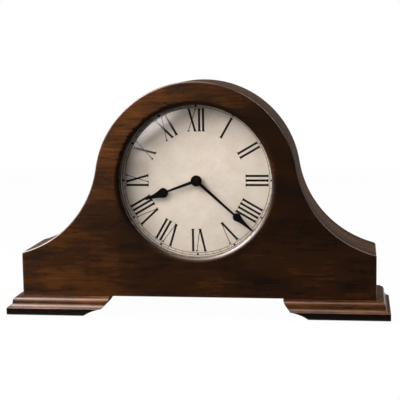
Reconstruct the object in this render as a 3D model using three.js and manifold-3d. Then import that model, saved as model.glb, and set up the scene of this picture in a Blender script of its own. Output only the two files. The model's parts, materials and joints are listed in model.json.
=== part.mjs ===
// A tambour mantel clock: a hat-shaped wooden case on two bracket feet, a domed glass over a
// Roman dial, and a battery quartz movement behind it. Millimetres, +Z up, the dial faces -Y.
import * as THREE from 'three';
import { mergeVertices } from 'three/addons/utils/BufferGeometryUtils.js';
import Module from 'manifold-3d';

const wasm = await Module();
wasm.setup();

// Case outline, seen from the front
const CASE_WIDTH = 372;
const CASE_DEPTH = 81;
const HAT_RADIUS = 105.4;
const HAT_BELOW_DIAL = 1.9;
const SHOULDER_RADIUS = 109.5;
const SHOULDER_HEIGHT = 46.2;
const SHOULDER_ROUNDING = 2.4;
const ARRIS = 1.5;
const HAT_STEPS = 32;
const SHOULDER_STEPS = 12;

// Case boards
const FRONT_THICKNESS = 20;
const BACK_THICKNESS = 8;
const WRAP_THICKNESS = 5;
const END_THICKNESS = 12;
const BOTTOM_THICKNESS = 10;
const GLUE_LINE = 0.3;

// Feet: a moulding on the front and the outer side, mitred at the corner
const FOOT_HEIGHT = 18.4;
const FOOT_PLINTH_OUT = 14.5;
const FOOT_PLINTH_HEIGHT = 7.6;
const FOOT_PLINTH_ROUNDING = 0.9;
const FOOT_BEAD_OUT = 9.3;
const FOOT_BEAD_BOTTOM = 6.4;
const FOOT_COVE = { out: 0.3, drop: 3.4 };
const FOOT_LEDGE_OUT = 5;
const FOOT_QUIRK = 0.8;
const FOOT_INSET = 22;
const FOOT_INNER_TOP = 91;
const FOOT_INNER_BOTTOM = 117.5;
const FOOT_BRACKET_STEP_DEPTH = 11;
const FOOT_BRACKET_STEP_RUN = 7.5;
const FOOT_SWEEP_LOW = { run: 0.3, rise: 0.55 };
const FOOT_SWEEP_HIGH = { run: 0.35, fall: 0.15 };
const FOOT_ROUND = { run: 0.35, fall: 0.6 };
const FOOT_BACK_SETBACK = 3;
const MITRE_GAP = 0.1;
const PAD_RADIUS = 8;
const PAD_THICKNESS = 1;
const PAD_EDGE = 3;
const FRONT_PAD_FROM_END = 40;

// Dial opening, glass and dial
const DIAL_HEIGHT = 120.9;
const RIM_WIDTH = 25.8;
const LIP_ROUNDING = 6.5;
const LIP_SWEEP_DEGREES = 50;
const LIP_DEPTH = 10.5;
const REBATE_WIDTH = 6.6;
const SEAT_CLEARANCE = 0.4;
const GLASS_THICKNESS = 2;
const GLASS_RISE = 9;
const SPACER_WIDTH = 5;
const DIAL_THICKNESS = 1.2;
const BOARD_TO_WRAP = 3;
const BOARD_THICKNESS = 3;
const BOARD_SCREW_RADIUS = 1.4;
const BOARD_SCREW_HEAD_RADIUS = 3;
const BOARD_SCREW_HEAD = 1.8;
const BOARD_SCREW_GRIP = 6;
const BOARD_SCREW_CLEARANCE = 0.15;
const BOARD_SCREW_COUNT = 4;

// Hands, set at twenty-two minutes past eight, with the bulb's point in halves of the bulb's width
const REST_HOUR = 8;
const REST_MINUTE = 22;
const HOUR_HAND_LAG_DEGREES = 1;
const MINUTE_TIP_TO_LIP = 1.1;
const MINUTE_BULB_FROM_TIP = 21.8;
const MINUTE_BULB_WIDTH = 8.8;
const HOUR_TIP_TO_LIP = 21.7;
const HOUR_BULB_FROM_TIP = 20.3;
const HOUR_BULB_WIDTH = 10.5;
const BULB_FLANK_ANGLE = 0.47;
const BULB_HOLLOW = { half: 0.43, along: 1.35 };
const HAND_POINT_WIDTH = 0.18;
const HAND_SHAFT_WIDTH = 3.2;
const HAND_NECK_WIDTH = 2.2;
const HAND_HUB_RADIUS = 4.6;
const HAND_THICKNESS = 0.8;
const HAND_GAP = 0.7;
const HAND_FIT = 0.03;
const CAP_RADIUS = 5.9;
const CAP_HEIGHT = 2.8;

// Movement housing
const SHELL_WALL = 1.5;
const FRONT_SHELL_DEPTH = 6;
const MIDDLE_PLATE = 1.2;
const REAR_SHELL_DEPTH = 10.8;
const RUBBER_WASHER = 1;
const RUBBER_WASHER_RADIUS = 11;
const BRASS_WASHER = 0.6;
const BRASS_WASHER_RADIUS = 5.2;
const NUT_THICKNESS = 1.4;
const NUT_CORNER_RADIUS = 5.4;
const NUT_SIDES = 6;
const BUSHING_RADIUS = 3.4;
const BUSHING_PROUD = 0.3;
const BUSHING_CLEARANCE = 0.25;
const BATTERY_RADIUS = 7.25;
const BATTERY_LENGTH = 50.5;
const BATTERY_NUB_RADIUS = 2.7;
const BATTERY_NUB = 1;
const BATTERY_CLEARANCE = 0.35;
const BAY_WALL = 1;
const CONTACT_THICKNESS = 0.4;
const CONTACT_WIDTH = 10;
const CONTACT_TONGUE = 3.4;
const CONTACT_SPACE = 1.25;

// Gear train: tooth counts and modules
const CANNON_TEETH = 12;
const MINUTE_WHEEL_TEETH = 36;
const MINUTE_PINION_TEETH = 10;
const HOUR_WHEEL_TEETH = 40;
const SETTING_TEETH = 12;
const DRIVE_WHEEL_TEETH = 60;
const THIRD_PINION_TEETH = 8;
const THIRD_WHEEL_TEETH = 64;
const FOURTH_PINION_TEETH = 8;
const FOURTH_WHEEL_TEETH = 40;
const IDLER_PINION_TEETH = 8;
const IDLER_WHEEL_TEETH = 48;
const ROTOR_TEETH = 8;
const MOTION_DISTANCE = 11.04;
const THIRD_DISTANCE = 9.18;
const IDLER_MODULE = 0.385;
const ROTOR_MODULE = 0.26;
const MINUTE_WHEEL_DIRECTION = Math.PI / 4;
const SETTING_DIRECTION = 0;
const THIRD_DIRECTION = 0.75 * Math.PI;
const IDLER_DIRECTION = Math.PI / 4;
const ROTOR_DIRECTION = Math.PI / 2;
const ADDENDUM = 0.85;
const DEDENDUM = 1.15;
const ROOT_HALF_WIDTH = 0.3;
const TIP_HALF_WIDTH = 0.1;

// Arbors and wheel stations, front to back
const ARBOR_RADIUS = 0.95;
const HOUR_PIPE_RADIUS = 2.5;
const STAFF_RADIUS = 0.5;
const RUNNING_CLEARANCE = 0.08;
const END_SHAKE = 0.15;
const WHEEL_THICKNESS = 0.8;
const PINION_THICKNESS = 1.2;
const STATION_GAP = 0.7;
const TRAIN_CLEARANCE = 1.1;
const MAGNET_RADIUS = 2.8;
const STATOR_GAP = 0.5;
const STATOR_THICKNESS = 1.1;
const STATOR_ARM = 4.2;
const STATOR_LEG = 5;
const STATOR_MARGIN = 2;
const COIL_RADIUS = 3.2;
const COIL_MARGIN = 1.8;
const COIL_CORE_WIDTH = 3;
const COIL_CORE_THICKNESS = 1;
const KNOB_STEM_RADIUS = 1.4;
const KNOB_RADIUS = 6.6;
const KNOB_THICKNESS = 4;
const KNOB_FLUTES = 18;
const KNOB_FLUTE_DEPTH = 0.6;
const KNOB_RIB_HALF = 0.2;
const PCB_MARGIN = 4.7;
const PCB_WIDTH = 10;
const PCB_HEIGHT = 24;
const PCB_THICKNESS = 0.9;
const QUARTZ_RADIUS = 1.5;
const QUARTZ_LENGTH = 6;

// Access door in the back
const DOOR_INSIDE_HAT = 30.4;
const DOOR_OPENING_HEIGHT = 120;
const DOOR_BELOW_DIAL = 3.4;
const DOOR_GAP = 1;
const HINGE_HEIGHT = 30;
const HINGE_LEAF_WIDTH = 14;
const HINGE_LEAF = 1;
const HINGE_BARREL_RADIUS = 2;
const HINGE_PIN_RADIUS = 1;
const HINGE_FROM_EDGE = 16;
const HINGE_CLEARANCE = 0.2;
const PIN_CLEARANCE = 0.06;
const PULL_RADIUS = 5;
const PULL_FOOT_RADIUS = 4;
const PULL_FOOT = 0.8;
const PULL_NECK_RADIUS = 2.6;
const PULL_KNOB = 4;
const PULL_BEVEL = 1.2;
const PULL_LENGTH = 7;
const PULL_FROM_EDGE = 14;
const CATCH_WIDTH = 20;
const CATCH_HEIGHT = 12;
const CATCH_DEPTH = 6;
const CATCH_OVERHANG = 7;
const STRIKE_SIZE = 10;
const STRIKE_THICKNESS = 0.8;
const STRIKE_RECESS = 1;

// How finely curves are cut, and how far a cutting tool runs past what it cuts
const ROUND = 48;
const SMALL_ROUND = 20;
const TINY_ROUND = 10;
const CURVE_STEPS = 8;
const MOULDING_STEPS = 5;
const LIP_STEPS = 3;
const CORNER_STEPS = 3;
const GLASS_STEPS = 4;
const CAP_STEPS = 5;
const SCRIBE_STEPS = 4;
const BEYOND = 5;

// Places worked out from the sizes above, from the case's front face back and its underside up
const overallDepth = FOOT_PLINTH_OUT + CASE_DEPTH + PULL_LENGTH;
const halfWidth = CASE_WIDTH / 2;
const backPanelFront = CASE_DEPTH - BACK_THICKNESS;
const hatCentre = new THREE.Vector2(0, DIAL_HEIGHT - HAT_BELOW_DIAL);
const caseHeight = hatCentre.y + HAT_RADIUS;
const shoulderEnd = new THREE.Vector2(halfWidth, SHOULDER_HEIGHT);
const shoulderCentre = circlesMeet(hatCentre, HAT_RADIUS + SHOULDER_RADIUS, shoulderEnd, SHOULDER_RADIUS);
const glassBack = LIP_DEPTH + GLASS_THICKNESS;
const dialFace = FRONT_THICKNESS - DIAL_THICKNESS;
const boardBack = FRONT_THICKNESS + BOARD_THICKNESS;
const openingRadius = HAT_RADIUS - RIM_WIDTH;
const lipSweep = THREE.MathUtils.degToRad(LIP_SWEEP_DEGREES);
const lipRadius = openingRadius + LIP_ROUNDING * Math.sin(lipSweep);
const rebateRadius = openingRadius + REBATE_WIDTH;
const boardRadius = HAT_RADIUS - WRAP_THICKNESS - HAT_BELOW_DIAL - BOARD_TO_WRAP;
const screwHole = BOARD_SCREW_RADIUS + BOARD_SCREW_CLEARANCE;
const seatRadius = rebateRadius - SEAT_CLEARANCE;
const nutFront = dialFace - BRASS_WASHER - NUT_THICKNESS;
const bushingFront = nutFront - BUSHING_PROUD;
const hourHandBack = bushingFront - HAND_GAP / 2;
const hourPipeFront = hourHandBack - HAND_THICKNESS;
const minuteHandBack = hourPipeFront - HAND_GAP;
const minuteHandFront = minuteHandBack - HAND_THICKNESS;
const shellFront = boardBack + RUBBER_WASHER;
const frontCavity = shellFront + SHELL_WALL;
const middleFront = shellFront + FRONT_SHELL_DEPTH;
const middleBack = middleFront + MIDDLE_PLATE;
const shellBack = middleBack + REAR_SHELL_DEPTH;
const rearCavity = shellBack - SHELL_WALL;
const halfCavity = BATTERY_LENGTH / 2 + CONTACT_SPACE;
const halfMovement = halfCavity + SHELL_WALL;
const hourWheelFront = frontCavity + STATION_GAP;
const minuteWheelFront = hourWheelFront + WHEEL_THICKNESS + STATION_GAP;
const driveFront = middleBack + STATION_GAP;
const thirdFront = driveFront + WHEEL_THICKNESS + 1.5 * STATION_GAP;
const fourthFront = thirdFront + WHEEL_THICKNESS + STATION_GAP;
const idlerFront = fourthFront + WHEEL_THICKNESS + STATION_GAP;
const rotorFront = idlerFront + WHEEL_THICKNESS + STATION_GAP;
const minuteModule = (2 * MOTION_DISTANCE) / (CANNON_TEETH + MINUTE_WHEEL_TEETH);
const hourModule = (2 * MOTION_DISTANCE) / (MINUTE_PINION_TEETH + HOUR_WHEEL_TEETH);
const driveModule = (2 * THIRD_DISTANCE) / (DRIVE_WHEEL_TEETH + THIRD_PINION_TEETH);
const thirdModule = (2 * THIRD_DISTANCE) / (THIRD_WHEEL_TEETH + FOURTH_PINION_TEETH);
const settingDistance = (minuteModule * (SETTING_TEETH + MINUTE_WHEEL_TEETH)) / 2;
const idlerDistance = (IDLER_MODULE * (FOURTH_WHEEL_TEETH + IDLER_PINION_TEETH)) / 2;
const rotorDistance = (ROTOR_MODULE * (IDLER_WHEEL_TEETH + ROTOR_TEETH)) / 2;
const centre = new THREE.Vector2(0, 0);
const minuteAxis = stepTo(centre, MINUTE_WHEEL_DIRECTION, MOTION_DISTANCE);
const settingAxis = stepTo(minuteAxis, SETTING_DIRECTION, settingDistance);
const thirdAxis = stepTo(centre, THIRD_DIRECTION, THIRD_DISTANCE);
const idlerAxis = stepTo(centre, IDLER_DIRECTION, idlerDistance);
const rotorAxis = stepTo(idlerAxis, ROTOR_DIRECTION, rotorDistance);
const coilHeight = rotorAxis.y + STATOR_ARM + GLUE_LINE + COIL_RADIUS;
const hourWheelTip = hourModule * (HOUR_WHEEL_TEETH / 2 + ADDENDUM);
const trainFloor = -hourWheelTip - TRAIN_CLEARANCE;
const bayTop = trainFloor - BAY_WALL;
const cavityBottom = bayTop - 2 * (BATTERY_RADIUS + BATTERY_CLEARANCE);
const cavityTop = coilHeight + COIL_RADIUS + COIL_MARGIN;
const statorHalfSpan = halfCavity - rotorAxis.x - STATOR_MARGIN;
const halfOpening = HAT_RADIUS - DOOR_INSIDE_HAT;
const doorMiddle = DIAL_HEIGHT - DOOR_BELOW_DIAL;
const doorOpeningBottom = doorMiddle - DOOR_OPENING_HEIGHT / 2;
const doorOpeningTop = doorMiddle + DOOR_OPENING_HEIGHT / 2;
const hingeX = -halfOpening + DOOR_GAP / 2;
const hingeY = CASE_DEPTH + HINGE_BARREL_RADIUS + HINGE_CLEARANCE;
const minuteAngle = (REST_MINUTE / 60) * 2 * Math.PI;
const hourAngle =
  ((REST_HOUR + REST_MINUTE / 60) / 12) * 2 * Math.PI - THREE.MathUtils.degToRad(HOUR_HAND_LAG_DEGREES);

// The upper of the two points where two circles cross
function circlesMeet(first, firstRadius, second, secondRadius) {
  const apart = first.distanceTo(second);
  const along = (apart ** 2 + firstRadius ** 2 - secondRadius ** 2) / (2 * apart);
  const aside = Math.sqrt(firstRadius ** 2 - along ** 2);
  const direction = second.clone().sub(first).divideScalar(apart);
  const foot = first.clone().addScaledVector(direction, along);
  return foot.addScaledVector(new THREE.Vector2(-direction.y, direction.x), aside);
}

function stepTo(from, direction, distance) {
  return new THREE.Vector2(from.x + distance * Math.cos(direction), from.y + distance * Math.sin(direction));
}

// Solids: closed geometries joined and cut
function solidOf(geometry) {
  const bare = geometry.clone();
  bare.deleteAttribute('normal');
  bare.deleteAttribute('uv');
  const merged = mergeVertices(bare);
  const index = merged.index.array;
  const triangles = [];
  for (let i = 0; i < index.length; i += 3) {
    const [a, b, c] = [index[i], index[i + 1], index[i + 2]];
    if (a !== b && b !== c && c !== a) triangles.push(a, b, c);
  }
  return new wasm.Manifold(
    new wasm.Mesh({
      numProp: 3,
      vertProperties: new Float32Array(merged.attributes.position.array),
      triVerts: new Uint32Array(triangles),
    }),
  );
}

function geometryOf(solid) {
  const mesh = solid.getMesh();
  const geometry = new THREE.BufferGeometry();
  geometry.setAttribute('position', new THREE.BufferAttribute(new Float32Array(mesh.vertProperties), 3));
  geometry.setIndex(new THREE.BufferAttribute(new Uint32Array(mesh.triVerts), 1));
  const flat = geometry.toNonIndexed();
  flat.computeVertexNormals();
  return flat;
}

function join(first, ...others) {
  return geometryOf(others.reduce((whole, next) => whole.add(solidOf(next)), solidOf(first)));
}

function cut(first, ...tools) {
  return geometryOf(tools.reduce((whole, tool) => whole.subtract(solidOf(tool)), solidOf(first)));
}

// A flat outline in X and Z, given its thickness from its front face back
const toFront = new THREE.Matrix4().set(1, 0, 0, 0, 0, 0, -1, 0, 0, 1, 0, 0, 0, 0, 0, 1);

function plate(shape, front, thickness, curveSegments = TINY_ROUND) {
  const geometry = new THREE.ExtrudeGeometry(shape, { depth: thickness, bevelEnabled: false, curveSegments });
  return geometry.applyMatrix4(toFront).translate(0, front + thickness, 0);
}

function block(x0, x1, y0, y1, z0, z1) {
  const box = new THREE.BoxGeometry(x1 - x0, y1 - y0, z1 - z0);
  return box.translate((x0 + x1) / 2, (y0 + y1) / 2, (z0 + z1) / 2);
}

// A profile of radius and depth turned about the Y axis, walked with its outside wall going back
function turned(profile, segments = ROUND) {
  const points = profile.map(([radius, depth]) => new THREE.Vector2(radius, depth));
  return new THREE.LatheGeometry(points, segments);
}

function rod(radius, front, back, segments = SMALL_ROUND) {
  return turned([[0, front], [radius, front], [radius, back], [0, back]], segments);
}

function bore(radius, front, back, segments = SMALL_ROUND) {
  return rod(radius / Math.cos(Math.PI / segments), front, back, segments);
}

function ring(inner, outer, front, back, segments = ROUND) {
  return turned([[inner, front], [outer, front], [outer, back], [inner, back], [inner, front]], segments);
}

function arc(middle, radius, from, to, steps) {
  const points = [];
  for (let i = 0; i <= steps; i += 1) {
    points.push(stepTo(middle, from + ((to - from) * i) / steps, radius));
  }
  return points;
}

function mirrored(points) {
  return points.map((point) => new THREE.Vector2(-point.x, point.y)).reverse();
}

// A round hole whose flats, not its corners, lie at the stated radius
function circleHole(shape, middle, radius) {
  const corner = radius / Math.cos(Math.PI / SMALL_ROUND);
  const points = arc(middle, corner, 2 * Math.PI, (2 * Math.PI) / SMALL_ROUND, SMALL_ROUND - 1);
  shape.holes.push(new THREE.Path(points));
}

// The top line of the case, right shoulder to left, at a depth below its surface
function topLine(depth) {
  const tangent = Math.atan2(hatCentre.y - shoulderCentre.y, hatCentre.x - shoulderCentre.x);
  const radius = SHOULDER_RADIUS + depth;
  const end = -Math.PI + Math.acos((shoulderCentre.x - halfWidth) / radius);
  const shoulder = arc(shoulderCentre, radius, end, tangent, SHOULDER_STEPS);
  const lift = tangent + Math.PI;
  const hat = arc(hatCentre, HAT_RADIUS - depth, lift, Math.PI - lift, HAT_STEPS);
  return [...shoulder, ...hat.slice(1, -1), ...mirrored(shoulder)];
}

// The top line with its two outer corners rounded
function roundedTopLine() {
  const line = topLine(0);
  const corner = line[0];
  const inward = line[1].clone().sub(corner).setLength(SHOULDER_ROUNDING).add(corner);
  const below = new THREE.Vector2(corner.x, corner.y - SHOULDER_ROUNDING);
  const rounding = new THREE.QuadraticBezierCurve(below, corner, inward).getPoints(CORNER_STEPS);
  return [...rounding, ...line.slice(1, -1), ...mirrored(rounding)];
}

function caseOutline() {
  const bottom = [new THREE.Vector2(-halfWidth, 0), new THREE.Vector2(halfWidth, 0)];
  return new THREE.Shape([...bottom, ...roundedTopLine()]);
}

// A case-shaped panel whose outer face has a softened arris and whose inner face is square
function casePanel(outerFace, innerFace) {
  const thickness = Math.abs(innerFace - outerFace);
  const options = {
    depth: 2 * thickness,
    bevelEnabled: true,
    bevelThickness: ARRIS,
    bevelSize: ARRIS,
    bevelOffset: -ARRIS,
    bevelSegments: 2,
  };
  const full = new THREE.ExtrudeGeometry(caseOutline(), options).applyMatrix4(toFront);
  full.computeBoundingBox();
  const { min, max } = full.boundingBox;
  const facesFront = outerFace < innerFace;
  full.translate(0, facesFront ? outerFace - min.y : outerFace - max.y, 0);
  const far = facesFront ? innerFace + 3 * thickness : innerFace - 3 * thickness;
  const low = Math.min(innerFace, far);
  const high = Math.max(innerFace, far);
  return cut(full, block(-CASE_WIDTH, CASE_WIDTH, low, high, -BEYOND, caseHeight + BEYOND));
}

// Materials
function finish(color, roughness, metalness = 0) {
  return new THREE.MeshStandardMaterial({ color, roughness, metalness });
}

const lacqueredWood = () => finish(0x4a2a18, 0.35);
const plainBoard = () => finish(0x8a6a48, 0.8);
const blackEnamel = () => finish(0x141314, 0.4);
const brass = () => finish(0xb08d4a, 0.3, 1);
const steel = () => finish(0x9a9a98, 0.35, 1);
const blackPlastic = () => finish(0x1d1d1f, 0.6);
const whitePlastic = () => finish(0xe4e2da, 0.5);
const felt = () => finish(0x2a1c14, 0.95);

const clock = new THREE.Group();
clock.position.set(0, FOOT_PLINTH_OUT - overallDepth / 2, FOOT_HEIGHT + PAD_THICKNESS);
const dialGroup = new THREE.Group();
dialGroup.position.set(0, 0, DIAL_HEIGHT);
clock.add(dialGroup);

function addPiece(parent, name, geometry, material) {
  const mesh = new THREE.Mesh(geometry, material);
  mesh.name = name;
  parent.add(mesh);
}

// Case: front and back panels, bent top, ends and bottom
function boardScrewPlaces() {
  const places = [];
  const radius = (rebateRadius + boardRadius) / 2;
  for (let i = 0; i < BOARD_SCREW_COUNT; i += 1) {
    places.push(stepTo(centre, ((i + 0.5) * 2 * Math.PI) / BOARD_SCREW_COUNT, radius));
  }
  return places;
}

function frontPanel() {
  const lip = [];
  for (let i = 0; i <= LIP_STEPS; i += 1) {
    const turn = (i / LIP_STEPS) * lipSweep;
    lip.push([lipRadius - LIP_ROUNDING * Math.sin(turn), LIP_ROUNDING * (1 - Math.cos(turn))]);
  }
  const tool = turned([
    [0, -BEYOND],
    [lipRadius, -BEYOND],
    ...lip,
    [openingRadius, LIP_DEPTH],
    [rebateRadius, LIP_DEPTH],
    [rebateRadius, FRONT_THICKNESS + BEYOND],
    [0, FRONT_THICKNESS + BEYOND],
  ]);
  tool.translate(0, 0, DIAL_HEIGHT);
  const pilots = boardScrewPlaces().map((place) => {
    const depth = FRONT_THICKNESS - BOARD_SCREW_GRIP - GLUE_LINE;
    const pilot = bore(screwHole, depth, FRONT_THICKNESS + BEYOND, TINY_ROUND);
    return pilot.translate(place.x, 0, DIAL_HEIGHT + place.y);
  });
  return cut(casePanel(0, FRONT_THICKNESS), tool, ...pilots);
}

function backPanel() {
  const opening = block(
    -halfOpening,
    halfOpening,
    backPanelFront - BEYOND,
    CASE_DEPTH + BEYOND,
    doorOpeningBottom,
    doorOpeningTop,
  );
  return cut(casePanel(CASE_DEPTH, backPanelFront), opening);
}

function caseWrap() {
  const outer = roundedTopLine();
  const inner = topLine(WRAP_THICKNESS).reverse();
  return plate(new THREE.Shape([...outer, ...inner]), FRONT_THICKNESS, backPanelFront - FRONT_THICKNESS);
}

// An end board stands on the bottom board, with its top scribed to the underside of the wrap
function endPanel(side) {
  const radius = SHOULDER_RADIUS + WRAP_THICKNESS + GLUE_LINE;
  const points = [
    new THREE.Vector2(side * halfWidth, BOTTOM_THICKNESS),
    new THREE.Vector2(side * (halfWidth - END_THICKNESS), BOTTOM_THICKNESS),
  ];
  for (let i = SCRIBE_STEPS; i >= 0; i -= 1) {
    const x = halfWidth - (END_THICKNESS * i) / SCRIBE_STEPS;
    const drop = Math.sqrt(radius ** 2 - (shoulderCentre.x - x) ** 2);
    points.push(new THREE.Vector2(side * x, shoulderCentre.y - drop));
  }
  return plate(new THREE.Shape(points), FRONT_THICKNESS, backPanelFront - FRONT_THICKNESS);
}

addPiece(clock, 'front_panel', frontPanel(), lacqueredWood());
addPiece(clock, 'back_panel', backPanel(), lacqueredWood());
addPiece(clock, 'case_wrap', caseWrap(), lacqueredWood());
addPiece(clock, 'left_end_panel', endPanel(-1), lacqueredWood());
addPiece(clock, 'right_end_panel', endPanel(1), lacqueredWood());
addPiece(
  clock,
  'bottom_board',
  block(-halfWidth, halfWidth, FRONT_THICKNESS, backPanelFront, 0, BOTTOM_THICKNESS),
  lacqueredWood(),
);

// Feet
function footProfile() {
  const plinthTop = -FOOT_HEIGHT + FOOT_PLINTH_HEIGHT;
  const round = FOOT_PLINTH_ROUNDING;
  const profile = new THREE.Shape();
  profile.moveTo(-FOOT_INSET, -FOOT_HEIGHT);
  profile.lineTo(FOOT_PLINTH_OUT - round, -FOOT_HEIGHT);
  profile.quadraticCurveTo(FOOT_PLINTH_OUT, -FOOT_HEIGHT, FOOT_PLINTH_OUT, -FOOT_HEIGHT + round);
  profile.lineTo(FOOT_PLINTH_OUT, plinthTop - round);
  profile.quadraticCurveTo(FOOT_PLINTH_OUT, plinthTop, FOOT_PLINTH_OUT - round, plinthTop);
  profile.quadraticCurveTo(
    FOOT_BEAD_OUT + FOOT_COVE.out,
    -FOOT_BEAD_BOTTOM - FOOT_COVE.drop,
    FOOT_BEAD_OUT,
    -FOOT_BEAD_BOTTOM,
  );
  profile.quadraticCurveTo(FOOT_BEAD_OUT, -FOOT_QUIRK, FOOT_LEDGE_OUT, -FOOT_QUIRK);
  profile.lineTo(FOOT_LEDGE_OUT, 0);
  profile.lineTo(-FOOT_INSET, 0);
  return profile;
}

// A length of foot moulding, each point set by how far it is out, up and along
function moulding(length, place) {
  const options = { depth: length, bevelEnabled: false, curveSegments: MOULDING_STEPS };
  const geometry = new THREE.ExtrudeGeometry(footProfile(), options);
  const { position } = geometry.attributes;
  for (let i = 0; i < position.count; i += 1) {
    position.setXYZ(i, ...place(position.getX(i), position.getY(i), position.getZ(i)));
  }
  geometry.computeVertexNormals();
  return geometry;
}

// The shaped inner end of a foot: a round, a near-level run and a sweep down to the floor
function bracketTool() {
  const stepX = FOOT_INNER_TOP + FOOT_BRACKET_STEP_RUN;
  const sweep = FOOT_INNER_BOTTOM - stepX;
  const drop = FOOT_HEIGHT - FOOT_BRACKET_STEP_DEPTH;
  const shape = new THREE.Shape();
  shape.moveTo(FOOT_INNER_TOP - FOOT_INSET, BEYOND);
  shape.lineTo(FOOT_INNER_TOP - FOOT_INSET, -FOOT_HEIGHT - BEYOND);
  shape.lineTo(FOOT_INNER_BOTTOM, -FOOT_HEIGHT - BEYOND);
  shape.lineTo(FOOT_INNER_BOTTOM, -FOOT_HEIGHT);
  shape.bezierCurveTo(
    FOOT_INNER_BOTTOM - FOOT_SWEEP_LOW.run * sweep,
    -FOOT_HEIGHT + FOOT_SWEEP_LOW.rise * drop,
    stepX + FOOT_SWEEP_HIGH.run * sweep,
    -FOOT_BRACKET_STEP_DEPTH - FOOT_SWEEP_HIGH.fall * drop,
    stepX,
    -FOOT_BRACKET_STEP_DEPTH,
  );
  shape.quadraticCurveTo(
    FOOT_INNER_TOP + FOOT_ROUND.run * FOOT_BRACKET_STEP_RUN,
    -FOOT_ROUND.fall * FOOT_BRACKET_STEP_DEPTH,
    FOOT_INNER_TOP,
    0,
  );
  shape.lineTo(FOOT_INNER_TOP, BEYOND);
  return plate(shape, -FOOT_PLINTH_OUT - BEYOND, FOOT_PLINTH_OUT + FOOT_INSET + 2 * BEYOND, CURVE_STEPS);
}

// Swap left for right without turning the faces inside out
function flipped(geometry) {
  const copy = geometry.clone();
  const { position } = copy.attributes;
  for (let i = 0; i < position.count; i += 3) {
    const [a, b, c] = [0, 1, 2].map((k) => new THREE.Vector3().fromBufferAttribute(position, i + k));
    position.setXYZ(i, -a.x, a.y, a.z);
    position.setXYZ(i + 1, -c.x, c.y, c.z);
    position.setXYZ(i + 2, -b.x, b.y, b.z);
  }
  copy.computeVertexNormals();
  return copy;
}

function footFront() {
  const start = FOOT_INNER_TOP - FOOT_INSET / 2;
  const strip = moulding(halfWidth - start, (outward, up, along) => {
    const mitre = along === 0 ? outward - MITRE_GAP : 0;
    return [halfWidth - along + mitre, -outward, up];
  });
  return cut(strip, bracketTool());
}

function footSide() {
  const length = CASE_DEPTH - FOOT_BACK_SETBACK;
  return moulding(length, (outward, up, along) => {
    const mitre = along === 0 ? 0 : MITRE_GAP - outward;
    return [halfWidth + outward, length - along + mitre, up];
  });
}

function footPad(x, y) {
  const pad = new THREE.CylinderGeometry(PAD_RADIUS, PAD_RADIUS, PAD_THICKNESS, SMALL_ROUND);
  return pad.rotateX(Math.PI / 2).translate(x, y, -FOOT_HEIGHT - PAD_THICKNESS / 2);
}

const footFrontRight = footFront();
const footSideRight = footSide();
const padFrontPlace = [halfWidth - FRONT_PAD_FROM_END, (FOOT_INSET - FOOT_PLINTH_OUT) / 2];
const padBackPlace = [
  halfWidth - (FOOT_INSET - FOOT_PLINTH_OUT) / 2,
  CASE_DEPTH - FOOT_BACK_SETBACK - PAD_RADIUS - PAD_EDGE,
];
for (const [side, sign] of [['left', -1], ['right', 1]]) {
  const handed = (geometry) => (sign > 0 ? geometry : flipped(geometry));
  addPiece(clock, `${side}_foot_front_moulding`, handed(footFrontRight), lacqueredWood());
  addPiece(clock, `${side}_foot_side_moulding`, handed(footSideRight), lacqueredWood());
  addPiece(clock, `${side}_front_felt_pad`, footPad(sign * padFrontPlace[0], padFrontPlace[1]), felt());
  addPiece(clock, `${side}_rear_felt_pad`, footPad(sign * padBackPlace[0], padBackPlace[1]), felt());
}

// Glass, spacer, dial and the board that carries the movement
function domedGlass() {
  const domeRadius = openingRadius - SEAT_CLEARANCE;
  const sphere = (domeRadius ** 2 + GLASS_RISE ** 2) / (2 * GLASS_RISE);
  const dome = (seat) =>
    Array.from({ length: GLASS_STEPS + 1 }, (_, i) => {
      const radius = (domeRadius * i) / GLASS_STEPS;
      return [radius, seat - (Math.sqrt(sphere ** 2 - radius ** 2) - (sphere - GLASS_RISE))];
    });
  return turned([
    ...dome(LIP_DEPTH),
    [seatRadius, LIP_DEPTH],
    [seatRadius, glassBack],
    ...dome(glassBack).reverse(),
  ]);
}

function mountingBoard() {
  const shape = new THREE.Shape();
  shape.absarc(0, 0, boardRadius, 0, 2 * Math.PI, false);
  const board = plate(shape, FRONT_THICKNESS, BOARD_THICKNESS, ROUND);
  const holes = boardScrewPlaces().map((place) => {
    const hole = bore(screwHole, 0, boardBack + BEYOND, TINY_ROUND);
    return hole.translate(place.x, 0, place.y);
  });
  return cut(board, bore(BUSHING_RADIUS + BUSHING_CLEARANCE, 0, boardBack + BEYOND), ...holes);
}

function boardScrew(place) {
  const screw = turned(
    [
      [0, FRONT_THICKNESS - BOARD_SCREW_GRIP],
      [BOARD_SCREW_RADIUS, FRONT_THICKNESS - BOARD_SCREW_GRIP],
      [BOARD_SCREW_RADIUS, boardBack],
      [BOARD_SCREW_HEAD_RADIUS, boardBack],
      [BOARD_SCREW_HEAD_RADIUS, boardBack + BOARD_SCREW_HEAD / 2],
      [BOARD_SCREW_HEAD_RADIUS / 2, boardBack + BOARD_SCREW_HEAD],
      [0, boardBack + BOARD_SCREW_HEAD],
    ],
    TINY_ROUND,
  );
  return screw.translate(place.x, 0, place.y);
}

const dialHole = BUSHING_RADIUS + BUSHING_CLEARANCE;
addPiece(dialGroup, 'domed_glass', domedGlass(), finish(0xdfe6e6, 0.05));
addPiece(
  dialGroup,
  'dial_spacer_ring',
  ring(seatRadius - SPACER_WIDTH, seatRadius, glassBack, dialFace),
  finish(0x5a3a26, 0.6),
);
addPiece(dialGroup, 'dial', ring(dialHole, seatRadius, dialFace, FRONT_THICKNESS), finish(0xded0be, 0.7));
addPiece(dialGroup, 'movement_board', mountingBoard(), plainBoard());
boardScrewPlaces().forEach((place, i) => {
  addPiece(dialGroup, `board_screw_${i + 1}`, boardScrew(place), steel());
});

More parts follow.
